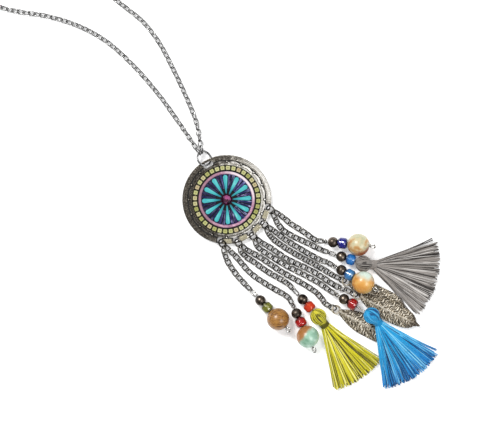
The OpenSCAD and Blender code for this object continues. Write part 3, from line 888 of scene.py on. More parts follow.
@dataclass(frozen=True)
class Thread(Finish):
    """Cotton thread in a fan, each thread in a tone of its own, the lightest a painted highlight, with
    painted shade between and under the threads.

    Attributes:
        head: Middle of the tassel's head, in millimetres.
        head_r: Radius of the head, in millimetres.
        neck: Middle of the fan, in millimetres.
        reach: Length of the fan, in millimetres.
        light: Colour of the lightest threads, which stand for a painted highlight.
        mid: Colour of most threads.
        deep: Colour of the painted shade between and under the threads and inside the head.
        ends: Colour towards the cut ends.
        hollow: Place of the painted shade in the hollow on the head, from its middle, in millimetres.
    """

    head: Vector
    head_r: float
    neck: Vector
    reach: float
    light: str
    mid: str
    deep: str
    ends: str
    hollow: tuple[float, float] = (0.2, 0.5)

    def shade(self, p: Paint, r: Socket, turn: Socket) -> Socket:
        """Works out how light each thread is: mostly its own shade, and never bright on the head.

        Args:
            p: The material's nodes.
            r: Distance from the neck, in millimetres.
            turn: Angle round it, in turns.

        Returns:
            The shade, from 0 to 1.
        """
        lock = p.spread(p.streaks(r, turn, 150.0, 0.12, 3.0), 0.3, 0.7, 0.0, 0.2)
        own = p.plus(p.times(p.stored("shade"), 0.8), lock)
        out = p.distance(p.moved(self.head))
        return p.maths("MINIMUM", own, p.spread(out, self.head_r, self.head_r + 2.0, 0.7, 1.0))

    def lay(self, p: Paint) -> None:
        """Lays the colours by the shade that is stored on each thread.

        Args:
            p: The material's nodes.
        """
        r, turn = p.polar(p.moved(self.neck))
        shade = self.shade(p, r, turn)
        body = p.mix(p.spread(r, 0.45 * self.reach, self.reach, 0.0, 0.75), self.mid, self.ends)
        # Painted shade: threads of the lowest stored shade take the deep colour, which stands for the
        # gaps between threads.
        colour = p.mix(p.spread(shade, 0.16, 0.4), self.deep, body)
        # Painted highlight on the lightest threads.
        colour = p.mix(p.spread(shade, 0.6, 0.95, 0.0, 0.9), colour, self.light)
        # Painted shade under the threads: the lower they lie, the darker.
        colour = p.mix(p.spread(p.axes()[2], 0.4, 1.2, 0.7, 0.0), colour, self.deep)
        # Painted shade in the hollow on top of the head.
        hollow = p.moved(self.head + Vector((*self.hollow, self.head_r)), 40.0, (0.7, 1.3, 1.0))
        ragged = p.plus(p.distance(hollow), p.spread(p.noise(1.3), 0.3, 0.7, -0.35, 0.35))
        colour = p.mix(p.spread(ragged, 0.45, 0.85, 0.85, 0.0), colour, self.deep)
        out = p.distance(p.moved(self.head))
        # Painted shade between the windings of the head.
        inside = p.spread(out, self.head_r - 0.34, self.head_r - 0.08, 0.85, 0.0)
        twist = p.node("ShaderNodeTexWave", {"Vector": p.place, "Scale": 1.6, "Distortion": 3.0},
                       bands_direction="DIAGONAL").outputs["Fac"]
        p.set(Base_Color=p.mix(inside, colour, self.deep), Roughness=0.72, Specular_IOR_Level=0.3)
        p.set(Sheen_Weight=0.25, Sheen_Roughness=0.4)
        p.bump(twist, 0.06, 0.5)


@dataclass(frozen=True)
class LeafMetal(Finish):
    """Antique silver leaf, bright on its barbs and dark between them.

    Attributes:
        stops: Colours from between the barbs to their rubbed tops.
        tip: Colour of the tip, partly brown and partly a painted shadow of the tassel that lies over
            it.
    """

    stops: Stops = ((0.02, "16120e"), (0.3, "63594a"), (0.6, "a1957f"), (0.95, "cfc8ba"))
    tip: str = "4a3d31"

    def lay(self, p: Paint) -> None:
        """Lays the metal by the relief that is stored on the leaf.

        Args:
            p: The material's nodes.
        """
        fine = p.noise(2.6, 4.0)
        patch = p.spread(p.noise(1.1, 3.0), 0.3, 0.7, -0.22, 0.22)
        level = p.plus(p.stored("relief"), p.plus(patch, p.spread(fine, 0.25, 0.75, -0.35, 0.35)))
        along = p.plus(p.stored("along"), p.spread(fine, 0.3, 0.7, -0.05, 0.05))
        # The tip is partly brown and partly a painted shadow of the tassel over it.
        tip = p.spread(along, 0.78, 0.94, 0.0, 0.85)
        p.set(Base_Color=p.mix(tip, p.ramp(level, self.stops), self.tip))
        p.set(Metallic=0.6, Roughness=p.spread(level, 0.1, 0.9, 0.6, 0.46))
        p.bump(p.noise(4.0, 3.0), 0.06, 0.4)


@dataclass(frozen=True)
class PaleFloor(Finish):
    """The plain pale surface under the necklace, as overexposed as in a catalogue picture.

    Attributes:
        glow: How far it shines by itself.
    """

    glow: float = 0.3

    def lay(self, p: Paint) -> None:
        """Lays a nearly even white that shines a little.

        Args:
            p: The material's nodes.
        """
        p.set(Base_Color=p.ramp(p.noise(0.02, 2.0), ((0.3, "f4f4f5"), (0.7, "fbfbfb"))), Roughness=0.9)
        p.set(Specular_IOR_Level=0.1, Emission_Color=srgb("ffffff"), Emission_Strength=self.glow)


@dataclass
class Route:
    """A smooth route through given places.

    Attributes:
        knots: The places, in millimetres.
        steps: Points from one knot to the next.
        points: The points of the route, worked out where none are given.
        marks: The length of the route up to each point.
    """

    knots: list[Vector]
    steps: int = 6
    points: list[Vector] = field(default_factory=list)
    marks: list[float] = field(default_factory=list)

    def __post_init__(self) -> None:
        """Works out the points where none are given."""
        self.points = self.points or self.smooth()
        self.measure()

    def smooth(self) -> list[Vector]:
        """Draws a smooth curve through the knots.

        Returns:
            Its points.
        """
        k = self.knots
        before = [2 * k[0] - k[1], *k, 2 * k[-1] - k[-2]]
        found = []
        for i in range(len(k) - 1):
            a, b, c, d = before[i:i + 4]
            for n in range(self.steps):
                t = n / self.steps
                found.append(0.5 * (2 * b + (c - a) * t + (2 * a - 5 * b + 4 * c - d) * t ** 2
                                    + (3 * b - a - 3 * c + d) * t ** 3))
        return [*found, k[-1]]

    def measure(self) -> None:
        """Works out the length up to each point."""
        self.marks = [0.0]
        for a, b in zip(self.points, self.points[1:]):
            self.marks.append(self.marks[-1] + (b - a).length)

    def settle(self, start: float, end: float, rest: float, ramp: float) -> None:
        """Lets the route start and end at other heights and lie at a rest height in between.

        Args:
            start: Height of its start.
            end: Height of its end.
            rest: Height in between.
            ramp: Length over which it comes down, in millimetres.
        """
        total = self.marks[-1]
        for p, s in zip(self.points, self.marks):
            first, last = ease(1 - s / ramp), ease(1 - (total - s) / ramp)
            p.z = rest + (start - rest) * first + (end - rest) * last
        self.measure()

    def at(self, s: float) -> Vector:
        """Finds the place at a length from the start.

        Args:
            s: The length, in millimetres.

        Returns:
            The place.
        """
        s = min(max(s, 0.0), self.marks[-1])
        for i in range(1, len(self.marks)):
            if s <= self.marks[i]:
                t = (s - self.marks[i - 1]) / max(self.marks[i] - self.marks[i - 1], 1e-9)
                return self.points[i - 1].lerp(self.points[i], t)
        return self.points[-1].copy()


@dataclass
class NeckChain:
    """The two legs of the neck chain, link by link. Lengths are millimetres and angles degrees.

    Attributes:
        link_len: Length of a link over its wire.
        link_w: Width of a link over its wire.
        end_long: How much longer the first and last links are.
        end_wide: How much wider they are.
        wire: The wire.
        link_gap: Play between two links.
        segments: Sides round a link and round its wire.
        lean: How far a link lies from flat.
        end_lean: The same for the last link, at the clasp.
        turning: Links over which the lean changes at both ends.
        restless: How far a link's lean differs from its neighbours'.
        descent: Length over which the chain comes down to the surface at both ends.
        rest: Height at which it lies, as a share of a link's width.
        top_ring_r: Radius of the ring that carries both legs, along its wire.
        top_ring_wire: That ring's wire.
        top_bearing: Bearing of that ring.
        top_tilt: How far that ring leans.
        top_rise: How far its outer side stands up.
        hook_angle: Bearing of each leg in that ring, from its outer side.
        clasp_len: Length of the clasp.
        clasp_wire: The clasp's wire.
        clasp_w: Width of the clasp.
        clasp_tilt: How far the clasp leans.
        clasp_heading: Heading of the clasp.
        clasp_at: The clasp's middle.
        straight: How far a leg runs straight at the clasp, in lengths of a link.
        left_route: Places that the left leg passes.
        right_route: Places that the right leg passes.
    """

    link_len: float = 3.1
    link_w: float = 2.0
    end_long: float = 1.1
    end_wide: float = 1.15
    wire: float = 0.45
    link_gap: float = 0.16
    segments: tuple[int, int] = (12, 6)
    lean: float = 32.0
    end_lean: float = 45.0
    turning: int = 8
    restless: float = 4.0
    descent: float = 12.0
    rest: float = 0.45
    top_ring_r: float = 2.6
    top_ring_wire: float = 0.7
    top_bearing: float = 123.0
    top_tilt: float = 60.0
    top_rise: float = 5.0
    hook_angle: float = 12.0
    clasp_len: float = 9.0
    clasp_wire: float = 0.8
    clasp_w: float = 3.6
    clasp_tilt: float = 45.0
    clasp_heading: float = 50.0
    clasp_at: tuple[float, float] = (-246.0, 166.0)
    straight: float = 2.2
    left_route: Places = (
        (-15.5, 25), (-20, 31.5), (-24.8, 38), (-33, 47.5), (-43, 56.7), (-53.3, 62.6), (-65, 66.4),
        (-77, 68.4), (-88, 71.5), (-106, 77), (-128, 82), (-152, 86), (-177, 89), (-201, 93),
        (-223, 100), (-241, 111), (-254, 127), (-258, 146),
    )
    right_route: Places = (
        (-11.2, 28.3), (-15.5, 38.7), (-20, 48.1), (-24.4, 56.4), (-30.4, 64.2), (-38.5, 70.8),
        (-48, 79), (-57, 91), (-67, 106), (-80, 122), (-97, 137), (-119, 152), (-144, 164),
        (-171, 174), (-199, 180), (-226, 180),
    )

    def link(self, length: float, width: float) -> Piece:
        """Models one link: a ring whose two halves are pulled apart.

        Args:
            length: Its length over the wire, in millimetres.
            width: Its width over the wire, in millimetres.

        Returns:
            The link, in millimetres, about the origin.
        """
        nothing_selected()
        round_link, round_wire = self.segments
        bpy.ops.mesh.primitive_torus_add(
            major_radius=(width - self.wire) / 2, minor_radius=self.wire / 2,
            major_segments=round_link, minor_segments=round_wire, location=(0, 0, 0),
        )
        link = bpy.context.object
        link.data.transform(Matrix.Rotation(math.pi / round_link, 4, "Z"))
        for sign in (-1, 1):
            bpy.ops.object.mode_set(mode="EDIT")
            bpy.ops.mesh.select_all(action="DESELECT")
            bpy.ops.object.mode_set(mode="OBJECT")
            for v in link.data.vertices:
                v.select = v.co.x * sign > 0
            bpy.ops.object.mode_set(mode="EDIT")
            bpy.ops.transform.translate(value=(sign * (length - width) / 2, 0, 0))
            bpy.ops.object.mode_set(mode="OBJECT")
        bpy.ops.object.shade_smooth()
        return link

    def hook(self, side: Side) -> Vector:
        """Finds where the first link of a leg sits in the top ring.

        Args:
            side: Which leg it is.

        Returns:
            The place, in millimetres.
        """
        rise, tilt, angle = (math.radians(a) for a in (self.top_rise, self.top_tilt, self.hook_angle))
        way = flat(self.top_bearing) * math.cos(rise) + Vector((0, 0, math.sin(rise)))
        left = flat(self.top_bearing + 90)
        beside = left * math.sin(tilt) + way.cross(left) * math.cos(tilt)
        reach = self.top_ring_r - self.top_ring_wire / 2 - self.wire / 2 - self.link_gap
        out = way * math.cos(angle) + beside * side.value * math.sin(angle)
        return node_centre("top_ring") + reach * out

    def leg(self, route: Places, side: Side) -> list[Matrix]:
        """Finds the places of a leg's links, the first and last of which are a size larger.

        Args:
            route: Places that the leg passes.
            side: Which leg it is.

        Returns:
            A place for each link, in order.
        """
        chance = random.Random(side.value)
        reach = self.end_long * self.link_len - self.wire
        start = self.hook(side)
        inner = start + (Vector((*route[0], start.z)) - start).normalized() * reach
        away = flat(self.clasp_heading) * -side.value
        rise = (self.clasp_w - self.clasp_wire) / 2 * math.sin(math.radians(self.clasp_tilt))
        eye = self.clasp_len / 2 - self.clasp_wire - self.wire / 2 - self.link_gap
        stop = Vector((*self.clasp_at, rise + self.clasp_wire / 2)) + away * eye
        outer = stop + away * reach
        before = outer + away * self.straight * self.link_len
        knots = [inner, *(Vector((*p, 0)) for p in route), before, outer]
        run = Route([Vector((k.x, k.y, 0)) for k in knots])
        run.settle(inner.z, outer.z, self.rest * self.link_w, self.descent)
        path = Route([], points=[start, *run.points, stop])
        hooked = self.wire + self.link_gap
        begin, end = reach - hooked, path.marks[-1] - reach + hooked
        own = self.link_len - self.wire
        count = math.ceil((end - begin - hooked) / (own - hooked))
        count += (count + (1 if side == Side.LEFT else 0)) % 2
        pitch = (end - begin - own) / (count - 1)
        places = [oriented((start + inner) / 2, inner - start, -self.top_tilt)]
        for n in range(count):
            a, b = path.at(begin + n * pitch), path.at(begin + n * pitch + own)
            near_ring = ease(1 - n / self.turning)
            near_clasp = ease(1 - (count - 1 - n) / self.turning)
            lean = self.lean + (self.end_lean - self.lean) * near_clasp
            if n % 2 == 0:
                lean += (90 - self.top_tilt - lean) * near_ring
            else:
                lean = -lean - (self.top_tilt - lean) * near_ring
            lean += chance.uniform(-self.restless, self.restless) * (1 - near_ring)
            places.append(oriented((a + b) / 2, b - a, lean))
        places.append(oriented((stop + outer) / 2, stop - outer, -self.end_lean * side.value))
        return places

    def build(self, material: Material) -> None:
        """Models both legs and dresses them.

        Args:
            material: Their finish.
        """
        big = self.link(self.end_long * self.link_len, self.end_wide * self.link_w)
        small = self.link(self.link_len, self.link_w)
        for route, side in ((self.left_route, Side.LEFT), (self.right_route, Side.RIGHT)):
            name = side.name.lower()
            places = self.leg(route, side)
            copies = []
            for n, place in enumerate(places):
                pattern = big if n in (0, len(places) - 1) else small
                copies.append(placed("link", pattern.data.copy()))
                copies[-1].data.transform(Matrix.Scale(MM, 4) @ place)
            leg = joined(*copies)
            seated(leg, f"neck_links_{name}", material, f"neck_chain_{name}")
        for pattern in (big, small):
            bpy.data.objects.remove(pattern)


@dataclass
class Tassel:
    """A thread tassel: a wound head, a bound neck and a fan of cut threads.

    Lengths are millimetres and angles degrees.

    Attributes:
        number: Its strand's number.
        slot: The record's material slot.
        bearing: Bearing from its head to its neck.
        heading: Heading of its fan.
        spread: Half of its fan.
        colours: Light, middle, deep and end colours of its thread; the light is a painted highlight
            and the deep a painted shade.
        held: Share of its length that stays above what lies under it.
        spare: Bare wire before its head.
        loose: How far single threads bend away from the fan's edges.
        head_r: Radius of the head.
        neck_r: Radius of the neck.
        neck_gap: From the head to the middle of the neck.
        skirt_len: Length of the fan.
        skirt_t: Thickness of the fan at its end.
        glass_len: Length of the glass bead before the head.
        bead_gap: Play between that bead and the head.
        thread_r: Radius of a thread.
        threads: Number of threads in the fan.
        locks: Number of locks on half of the fan, in which the threads gather.
        gather: How far they gather, as a share of the way to the lock's middle.
        waver: How far a thread of the fan wavers.
        astray: How far the end of a thread usually strays.
        uneven: How unequal the threads' lengths are, as a share.
        windings: Number of threads over the head.
        pole: Angle from the neck at which these start, seen from the head's middle.
        dip: The angle from one of their points to the next.
        swirl: How far they swirl round the head, in radians.
        wobble: How far each of them differs from that, in radians.
        facets: Number of sides of a thread.
        steps: Number of stretches of a thread.
    """

    number: int
    slot: str
    bearing: float
    heading: float
    spread: float
    colours: tuple[str, str, str, str]
    held: float = 0.0
    spare: float = 0.0
    loose: tuple[float, ...] = ()
    head_r: float = 2.95
    neck_r: float = 1.6
    neck_gap: float = 0.6
    skirt_len: float = 23.4
    skirt_t: float = 1.5
    glass_len: float = 3.3
    bead_gap: float = 0.1
    thread_r: float = 0.19
    threads: int = 250
    locks: int = 11
    gather: float = 0.2
    waver: float = 0.12
    astray: float = 0.3
    uneven: float = 0.09
    windings: int = 44
    pole: float = 172.0
    dip: float = 11.2
    swirl: float = 0.25
    wobble: float = 0.14
    facets: int = 6
    steps: int = 12

    def __post_init__(self) -> None:
        """Finds the head, the neck and the axis through both from the beads before them."""
        metal = node_centre(f"metal_bead_{self.number}")
        glass = node_centre(f"glass_bead_{self.number}")
        way = (glass - metal).normalized()
        self.head = glass + way * (self.glass_len / 2 + self.bead_gap + self.head_r + self.spare)
        self.ground = self.head.z - self.head_r
        self.neck = self.head + flat(self.bearing) * (self.head_r + self.neck_gap)
        self.neck.z = 0.9 * self.ground + self.neck_r + 0.15
        self.axis = (self.neck - self.head).normalized()
        self.side, self.up = across(self.axis)
        self.random = random.Random(self.number)
        self.shades: list[float] = []

    def profile(self, share: float) -> tuple[float, float]:
        """Finds the fan's section at a share of its length.

        Args:
            share: The share, from 0 to a little over 1.

        Returns:
            Height of its underside and its thickness, in millimetres.
        """
        rows = [
            (0.0, self.neck.z - 0.85 * self.neck_r, 1.7 * self.neck_r),
            (max(self.held, 0.22), 0.9 * self.ground if self.held else 0.0, 1.5 * self.skirt_t),
            (max(self.held + 0.25, 0.6), 0.0, 1.25 * self.skirt_t),
            (1.2, 0.0, self.skirt_t),
        ]
        for (s0, z0, t0), (s1, z1, t1) in zip(rows, rows[1:]):
            if share <= s1:
                u = (share - s0) / (s1 - s0)
                u = ease(u) if s0 == 0 else u
                return z0 + (z1 - z0) * u, t0 + (t1 - t0) * u
        return 0.0, self.skirt_t

    def skirt_thread(self, lane: float, layer: float, length: float, stray: float) -> list[Vector]:
        """Lays one thread of the fan.

        Args:
            lane: Its place across the fan, -1 to 1.
            layer: Its place in the thickness, 0 to 1.
            length: Its length, in millimetres.
            stray: How far it bends out of line, in millimetres.

        Returns:
            The points along it, in millimetres.
        """
        wide = 0.8 * self.neck_r * math.sqrt(max(1 - (2 * layer - 1) ** 2, 0.1))
        begin = self.neck + flat(self.heading + 90) * lane * wide
        gather = self.gather * (round(lane * self.locks) / self.locks - lane)
        phase = self.random.uniform(0, 2 * math.pi)
        points = []
        for n in range(self.steps + 1):
            s = n / self.steps
            under, thick = self.profile(s * length / self.skirt_len)
            bearing = self.heading + (lane + gather * ease(s)) * self.spread
            bend = stray * s * s + self.waver * math.sin(phase + 6 * s)
            p = begin + flat(bearing) * s * length + flat(bearing + 90) * bend
            p.z = under + self.thread_r + (thick - 2 * self.thread_r) * layer
            points.append(p)
        return points

    def spoke(self, angle: float) -> Vector:
        """The direction from the tassel's axis at an angle in radians round it."""
        return self.side * math.cos(angle) + self.up * math.sin(angle)

    def head_thread(self, turn: float) -> list[Vector]:
        """Lays one thread that runs over the head, from its pole down into the neck.

        Args:
            turn: Its angle round the head, in radians.

        Returns:
            The points along it, in millimetres.
        """
        wobble = self.random.uniform(-self.wobble, self.wobble)
        r = self.head_r - self.thread_r
        points = []
        for n in range(self.steps + 1):
            polar = math.radians(self.pole - n * self.dip)
            ring = self.spoke(turn + wobble * math.sin(polar) + self.swirl * math.sin(polar / 2))
            points.append(self.head + r * (self.axis * math.cos(polar) + ring * math.sin(polar)))
        return [*points, self.neck + self.spoke(turn) * (self.neck_r - self.thread_r)]

    def binding(self, turns: int = 5, steps: int = 16) -> list[Vector]:
        """Lays the thread that is wound round the neck.

        Args:
            turns: Number of its turns.
            steps: Number of points to the turn.

        Returns:
            The points along it, in millimetres.
        """
        points = []
        for n in range(turns * steps + 1):
            turn = n / steps
            at = self.neck - self.axis * (0.9 - 0.36 * turn)
            points.append(at + self.spoke(2 * math.pi * turn) * self.neck_r)
        return points

    def draw(self, points: list[Vector], curve: bpy.types.Curve) -> None:
        """Adds one thread to the bundle, above the surface and in a shade of its own.

        Args:
            points: The points along it, in millimetres.
            curve: The bundle.
        """
        self.shades += [self.random.random()] * len(points)
        spline = curve.splines.new("POLY")
        spline.points.add(len(points) - 1)
        for target, p in zip(spline.points, points):
            p.z = max(p.z, self.thread_r)
            target.co = (*(p * MM), 1.0)

    def shade(self, mesh: bpy.types.Mesh) -> None:
        """Stores each thread's shade on its vertices, the end caps by their places.

        Args:
            mesh: The bundle's mesh, whose rings of vertices follow the threads' points after the caps.
        """
        walls = [value for value in self.shades for _ in range(self.facets)]
        caps = len(mesh.vertices) - len(walls)
        known = {tuple(v.co): value for v, value in zip(mesh.vertices[caps:], walls)}
        stored(mesh, "shade", [known.get(tuple(v.co), 0.5) for v in mesh.vertices[:caps]] + walls)

    def core(self) -> Piece:
        """Models what fills the head inside its windings: a ball drawn down into the neck.

        Returns:
            The core.
        """
        nothing_selected()
        bpy.ops.mesh.primitive_uv_sphere_add(
            segments=28, ring_count=18, radius=(self.head_r - 0.25) * MM, location=self.head * MM
        )
        core = bpy.context.object
        bpy.ops.object.transform_apply(location=True, rotation=True, scale=True)
        for v in core.data.vertices:
            ahead = (v.co / MM - self.head).dot(self.axis)
            if ahead > 0.4 * self.head_r:
                line = self.head + self.axis * ahead
                t = ease((ahead / self.head_r - 0.4) / 0.6)
                v.co = (line + self.axis * t * 1.2) * MM + (v.co - line * MM) * (1 - 0.25 * t)
        picked(core)
        bpy.ops.object.shade_smooth()
        return core

    def lay(self, curve: bpy.types.Curve) -> None:
        """Lays all the threads: the fan, the loose ones, the head and the binding.

        Args:
            curve: The bundle.
        """
        for n in range(self.threads):
            lane = 2 * (n + self.random.random()) / self.threads - 1
            layer = self.random.random()
            length = self.skirt_len * (1.01 - self.uneven * self.random.random() ** 1.3)
            stray = self.random.gauss(0, self.astray)
            self.draw(self.skirt_thread(lane, layer, length, stray), curve)
        for bend in self.loose:
            lane = math.copysign(1, bend)
            self.draw(self.skirt_thread(lane, 0.3, self.skirt_len * 0.95, bend), curve)
        for n in range(self.windings):
            self.draw(self.head_thread(2 * math.pi * n / self.windings), curve)
        self.draw(self.binding(), curve)

    def build(self) -> None:
        """Lays the threads, makes them a mesh and dresses it."""
        name = f"tassel_{self.number}_threads"
        curve = bpy.data.curves.new(name, "CURVE")
        curve.dimensions = "3D"
        curve.bevel_depth = self.thread_r * MM
        curve.bevel_resolution = (self.facets - 4) // 2
        curve.use_fill_caps = True
        self.lay(curve)
        bundle = picked(placed(name, curve))
        bpy.ops.object.convert(target="MESH")
        bpy.ops.object.shade_smooth()
        self.shade(bundle.data)
        # The core stores no shade, so it takes the deep colour: painted shade inside the head.
        joined(bundle, self.core())
        finish = Thread(self.slot, self.head, self.head_r, self.neck, self.skirt_len, *self.colours)
        seated(bundle, name, finish.paint(), f"tassel_{self.number}")


@dataclass
class Leaf:
    """A leaf charm with a blunt end, a narrow tip, a rib and slanting barbs in relief.

    Lengths are millimetres and angles degrees.

    Attributes:
        number: Its strand's number.
        bearing: Its bearing from the pendant.
        reach: Its hole's distance past the rim, as a share of the fringe's length.
        heading: Heading of its tip.
        layers: Leaf thicknesses of what lies under it.
        pendant_r: The pendant's radius.
        fringe_len: The fringe's length.
        length: From its hole to its tip.
        width: Its width.
        thick: Its thickness.
        relief: Height of its rib and barbs.
        pitch: How far its tip hangs down.
        hole_r: Radius of its hole.
        eye_wire: Radius of the wire of the eye round that hole.
        barbs: Number of barbs on a side.
        slant: How far a barb runs forwards on its way to the edge, in barbs.
        notch: How deep the edge is notched between the barbs, as a share of half the width.
        bow: How far the blade is bowed up along its middle.
        crease: Angle between faces past which an edge is sharp.
        tip_share: Share of its length that is its narrow tip.
        tip_w: Width of that tip.
        root: Where the blade starts, as a share of its length.
        rib_w: Half the rib's width.
        cells: Cells of the blade's grid along it and across it.
    """

    number: int
    bearing: float
    reach: float
    heading: float
    layers: float = 0.0
    pendant_r: float = 16.0
    fringe_len: float = 50.0
    length: float = 24.5
    width: float = 7.6
    thick: float = 0.6
    relief: float = 0.2
    pitch: float = 2.0
    hole_r: float = 1.06
    eye_wire: float = 0.32
    barbs: int = 27
    slant: float = 2.8
    notch: float = 0.05
    bow: float = 0.16
    crease: float = 50.0
    tip_share: float = 0.07
    tip_w: float = 1.5
    root: float = 0.04
    rib_w: float = 0.4
    cells: tuple[int, int] = (150, 34)

    def place(self) -> Matrix:
        """Finds where the leaf lies.

        Returns:
            Its hole's place with x towards its tip, in millimetres.
        """
        at = flat(self.bearing) * (self.pendant_r + self.reach * self.fringe_len)
        at.z = (self.length * math.sin(math.radians(self.pitch)) + self.thick / 2
                + self.layers * (self.thick + self.relief))
        return (Matrix.Translation(at) @ Matrix.Rotation(math.radians(self.heading), 4, "Z")
                @ Matrix.Rotation(math.radians(self.pitch), 4, "Y"))

    def half_width(self, s: float) -> float:
        """Works out half the leaf's width.

        Args:
            s: Share of the leaf's length.

        Returns:
            The half, in millimetres.
        """
        u = min(max(s, 0.0) / (1 - self.tip_share), 1.0)
        past = min(max(1 - s, 0.0) / self.tip_share, 1.0)
        blade = math.sin(math.pi * u) ** 0.9 if u < 0.5 else math.sqrt(1 - (2 * u - 1) ** 4)
        return max(self.width / 2 * blade, self.tip_w / 2 * (0.4 + 0.6 * past))

    def raised(self, s: float, beside: float) -> float:
        """Works out how high the relief stands.

        Args:
            s: Share of the leaf's length.
            beside: Place across it, -1 to 1.

        Returns:
            One on the rib and the barbs, and zero between them.
        """
        rib = math.exp(-(beside * self.half_width(s) / self.rib_w) ** 2)
        side = math.copysign(1, beside)
        wander = (0.3 * math.sin(9 * beside + 31 * s + side)
                  + 0.24 * math.sin(47 * s - 6 * beside + 2 * side))
        phase = s * self.barbs - self.slant * abs(beside) + wander
        barb = (0.5 + 0.5 * math.cos(2 * math.pi * phase)) ** 0.8
        fade = ease((1 - abs(beside)) / 0.1)
        return max(rib, 0.92 * barb * (0.35 + 0.65 * fade))

    def blade(self) -> Piece:
        """Models the blade from a fine grid that is drawn to the leaf's outline and thickened.

        Returns:
            The blade, in millimetres, with its hole's place as origin.
        """
        nothing_selected()
        along, over = self.cells
        bpy.ops.mesh.primitive_grid_add(
            x_subdivisions=along, y_subdivisions=over, size=2, location=(0, 0, 0)
        )
        blade = bpy.context.object
        heights, alongs = [], []
        for v in blade.data.vertices:
            s = self.root + (1 - self.root) * (v.co.x + 1) / 2
            beside = v.co.y
            high = self.raised(s, beside)
            between = 0.5 - 0.5 * math.cos(2 * math.pi * (s * self.barbs - 2.3))
            notch = 1 - self.notch * between * abs(beside) ** 4
            bow = self.bow * (1 - beside * beside) - 0.12
            v.co = (self.length * s, beside * self.half_width(s) * notch,
                    self.thick / 2 + (high - 0.5) * self.relief * 1.6 + bow)
            heights.append(high)
            alongs.append(s)
        stored(blade.data, "relief", heights)
        stored(blade.data, "along", alongs)
        wall = blade.modifiers.new("wall", "SOLIDIFY")
        wall.thickness = self.thick * 0.75
        wall.offset = -1
        bpy.ops.object.modifier_apply(modifier=wall.name)
        return blade

    def eye(self) -> Piece:
        """Models the eye at the leaf's root: a ring of wire, flattened.

        Returns:
            The eye, in millimetres, about its hole.
        """
        nothing_selected()
        bpy.ops.mesh.primitive_torus_add(
            major_radius=self.hole_r + self.eye_wire, minor_radius=self.eye_wire,
            major_segments=32, minor_segments=10, location=(0, 0, 0),
        )
        eye = bpy.context.object
        bpy.ops.object.mode_set(mode="EDIT")
        bpy.ops.transform.resize(value=(1, 1, 0.9))
        bpy.ops.object.mode_set(mode="OBJECT")
        count = len(eye.data.vertices)
        stored(eye.data, "relief", [0.75] * count)
        stored(eye.data, "along", [0.0] * count)
        return eye

    def build(self, material: Material) -> None:
        """Models the leaf, puts it in its place and dresses it.

        Args:
            material: Its finish.
        """
        leaf = joined(self.blade(), self.eye())
        bpy.ops.object.shade_smooth_by_angle(angle=math.radians(self.crease))
        leaf.data.transform(Matrix.Scale(MM, 4) @ self.place())
        seated(leaf, f"leaf_{self.number}_charm", material, f"leaf_{self.number}")


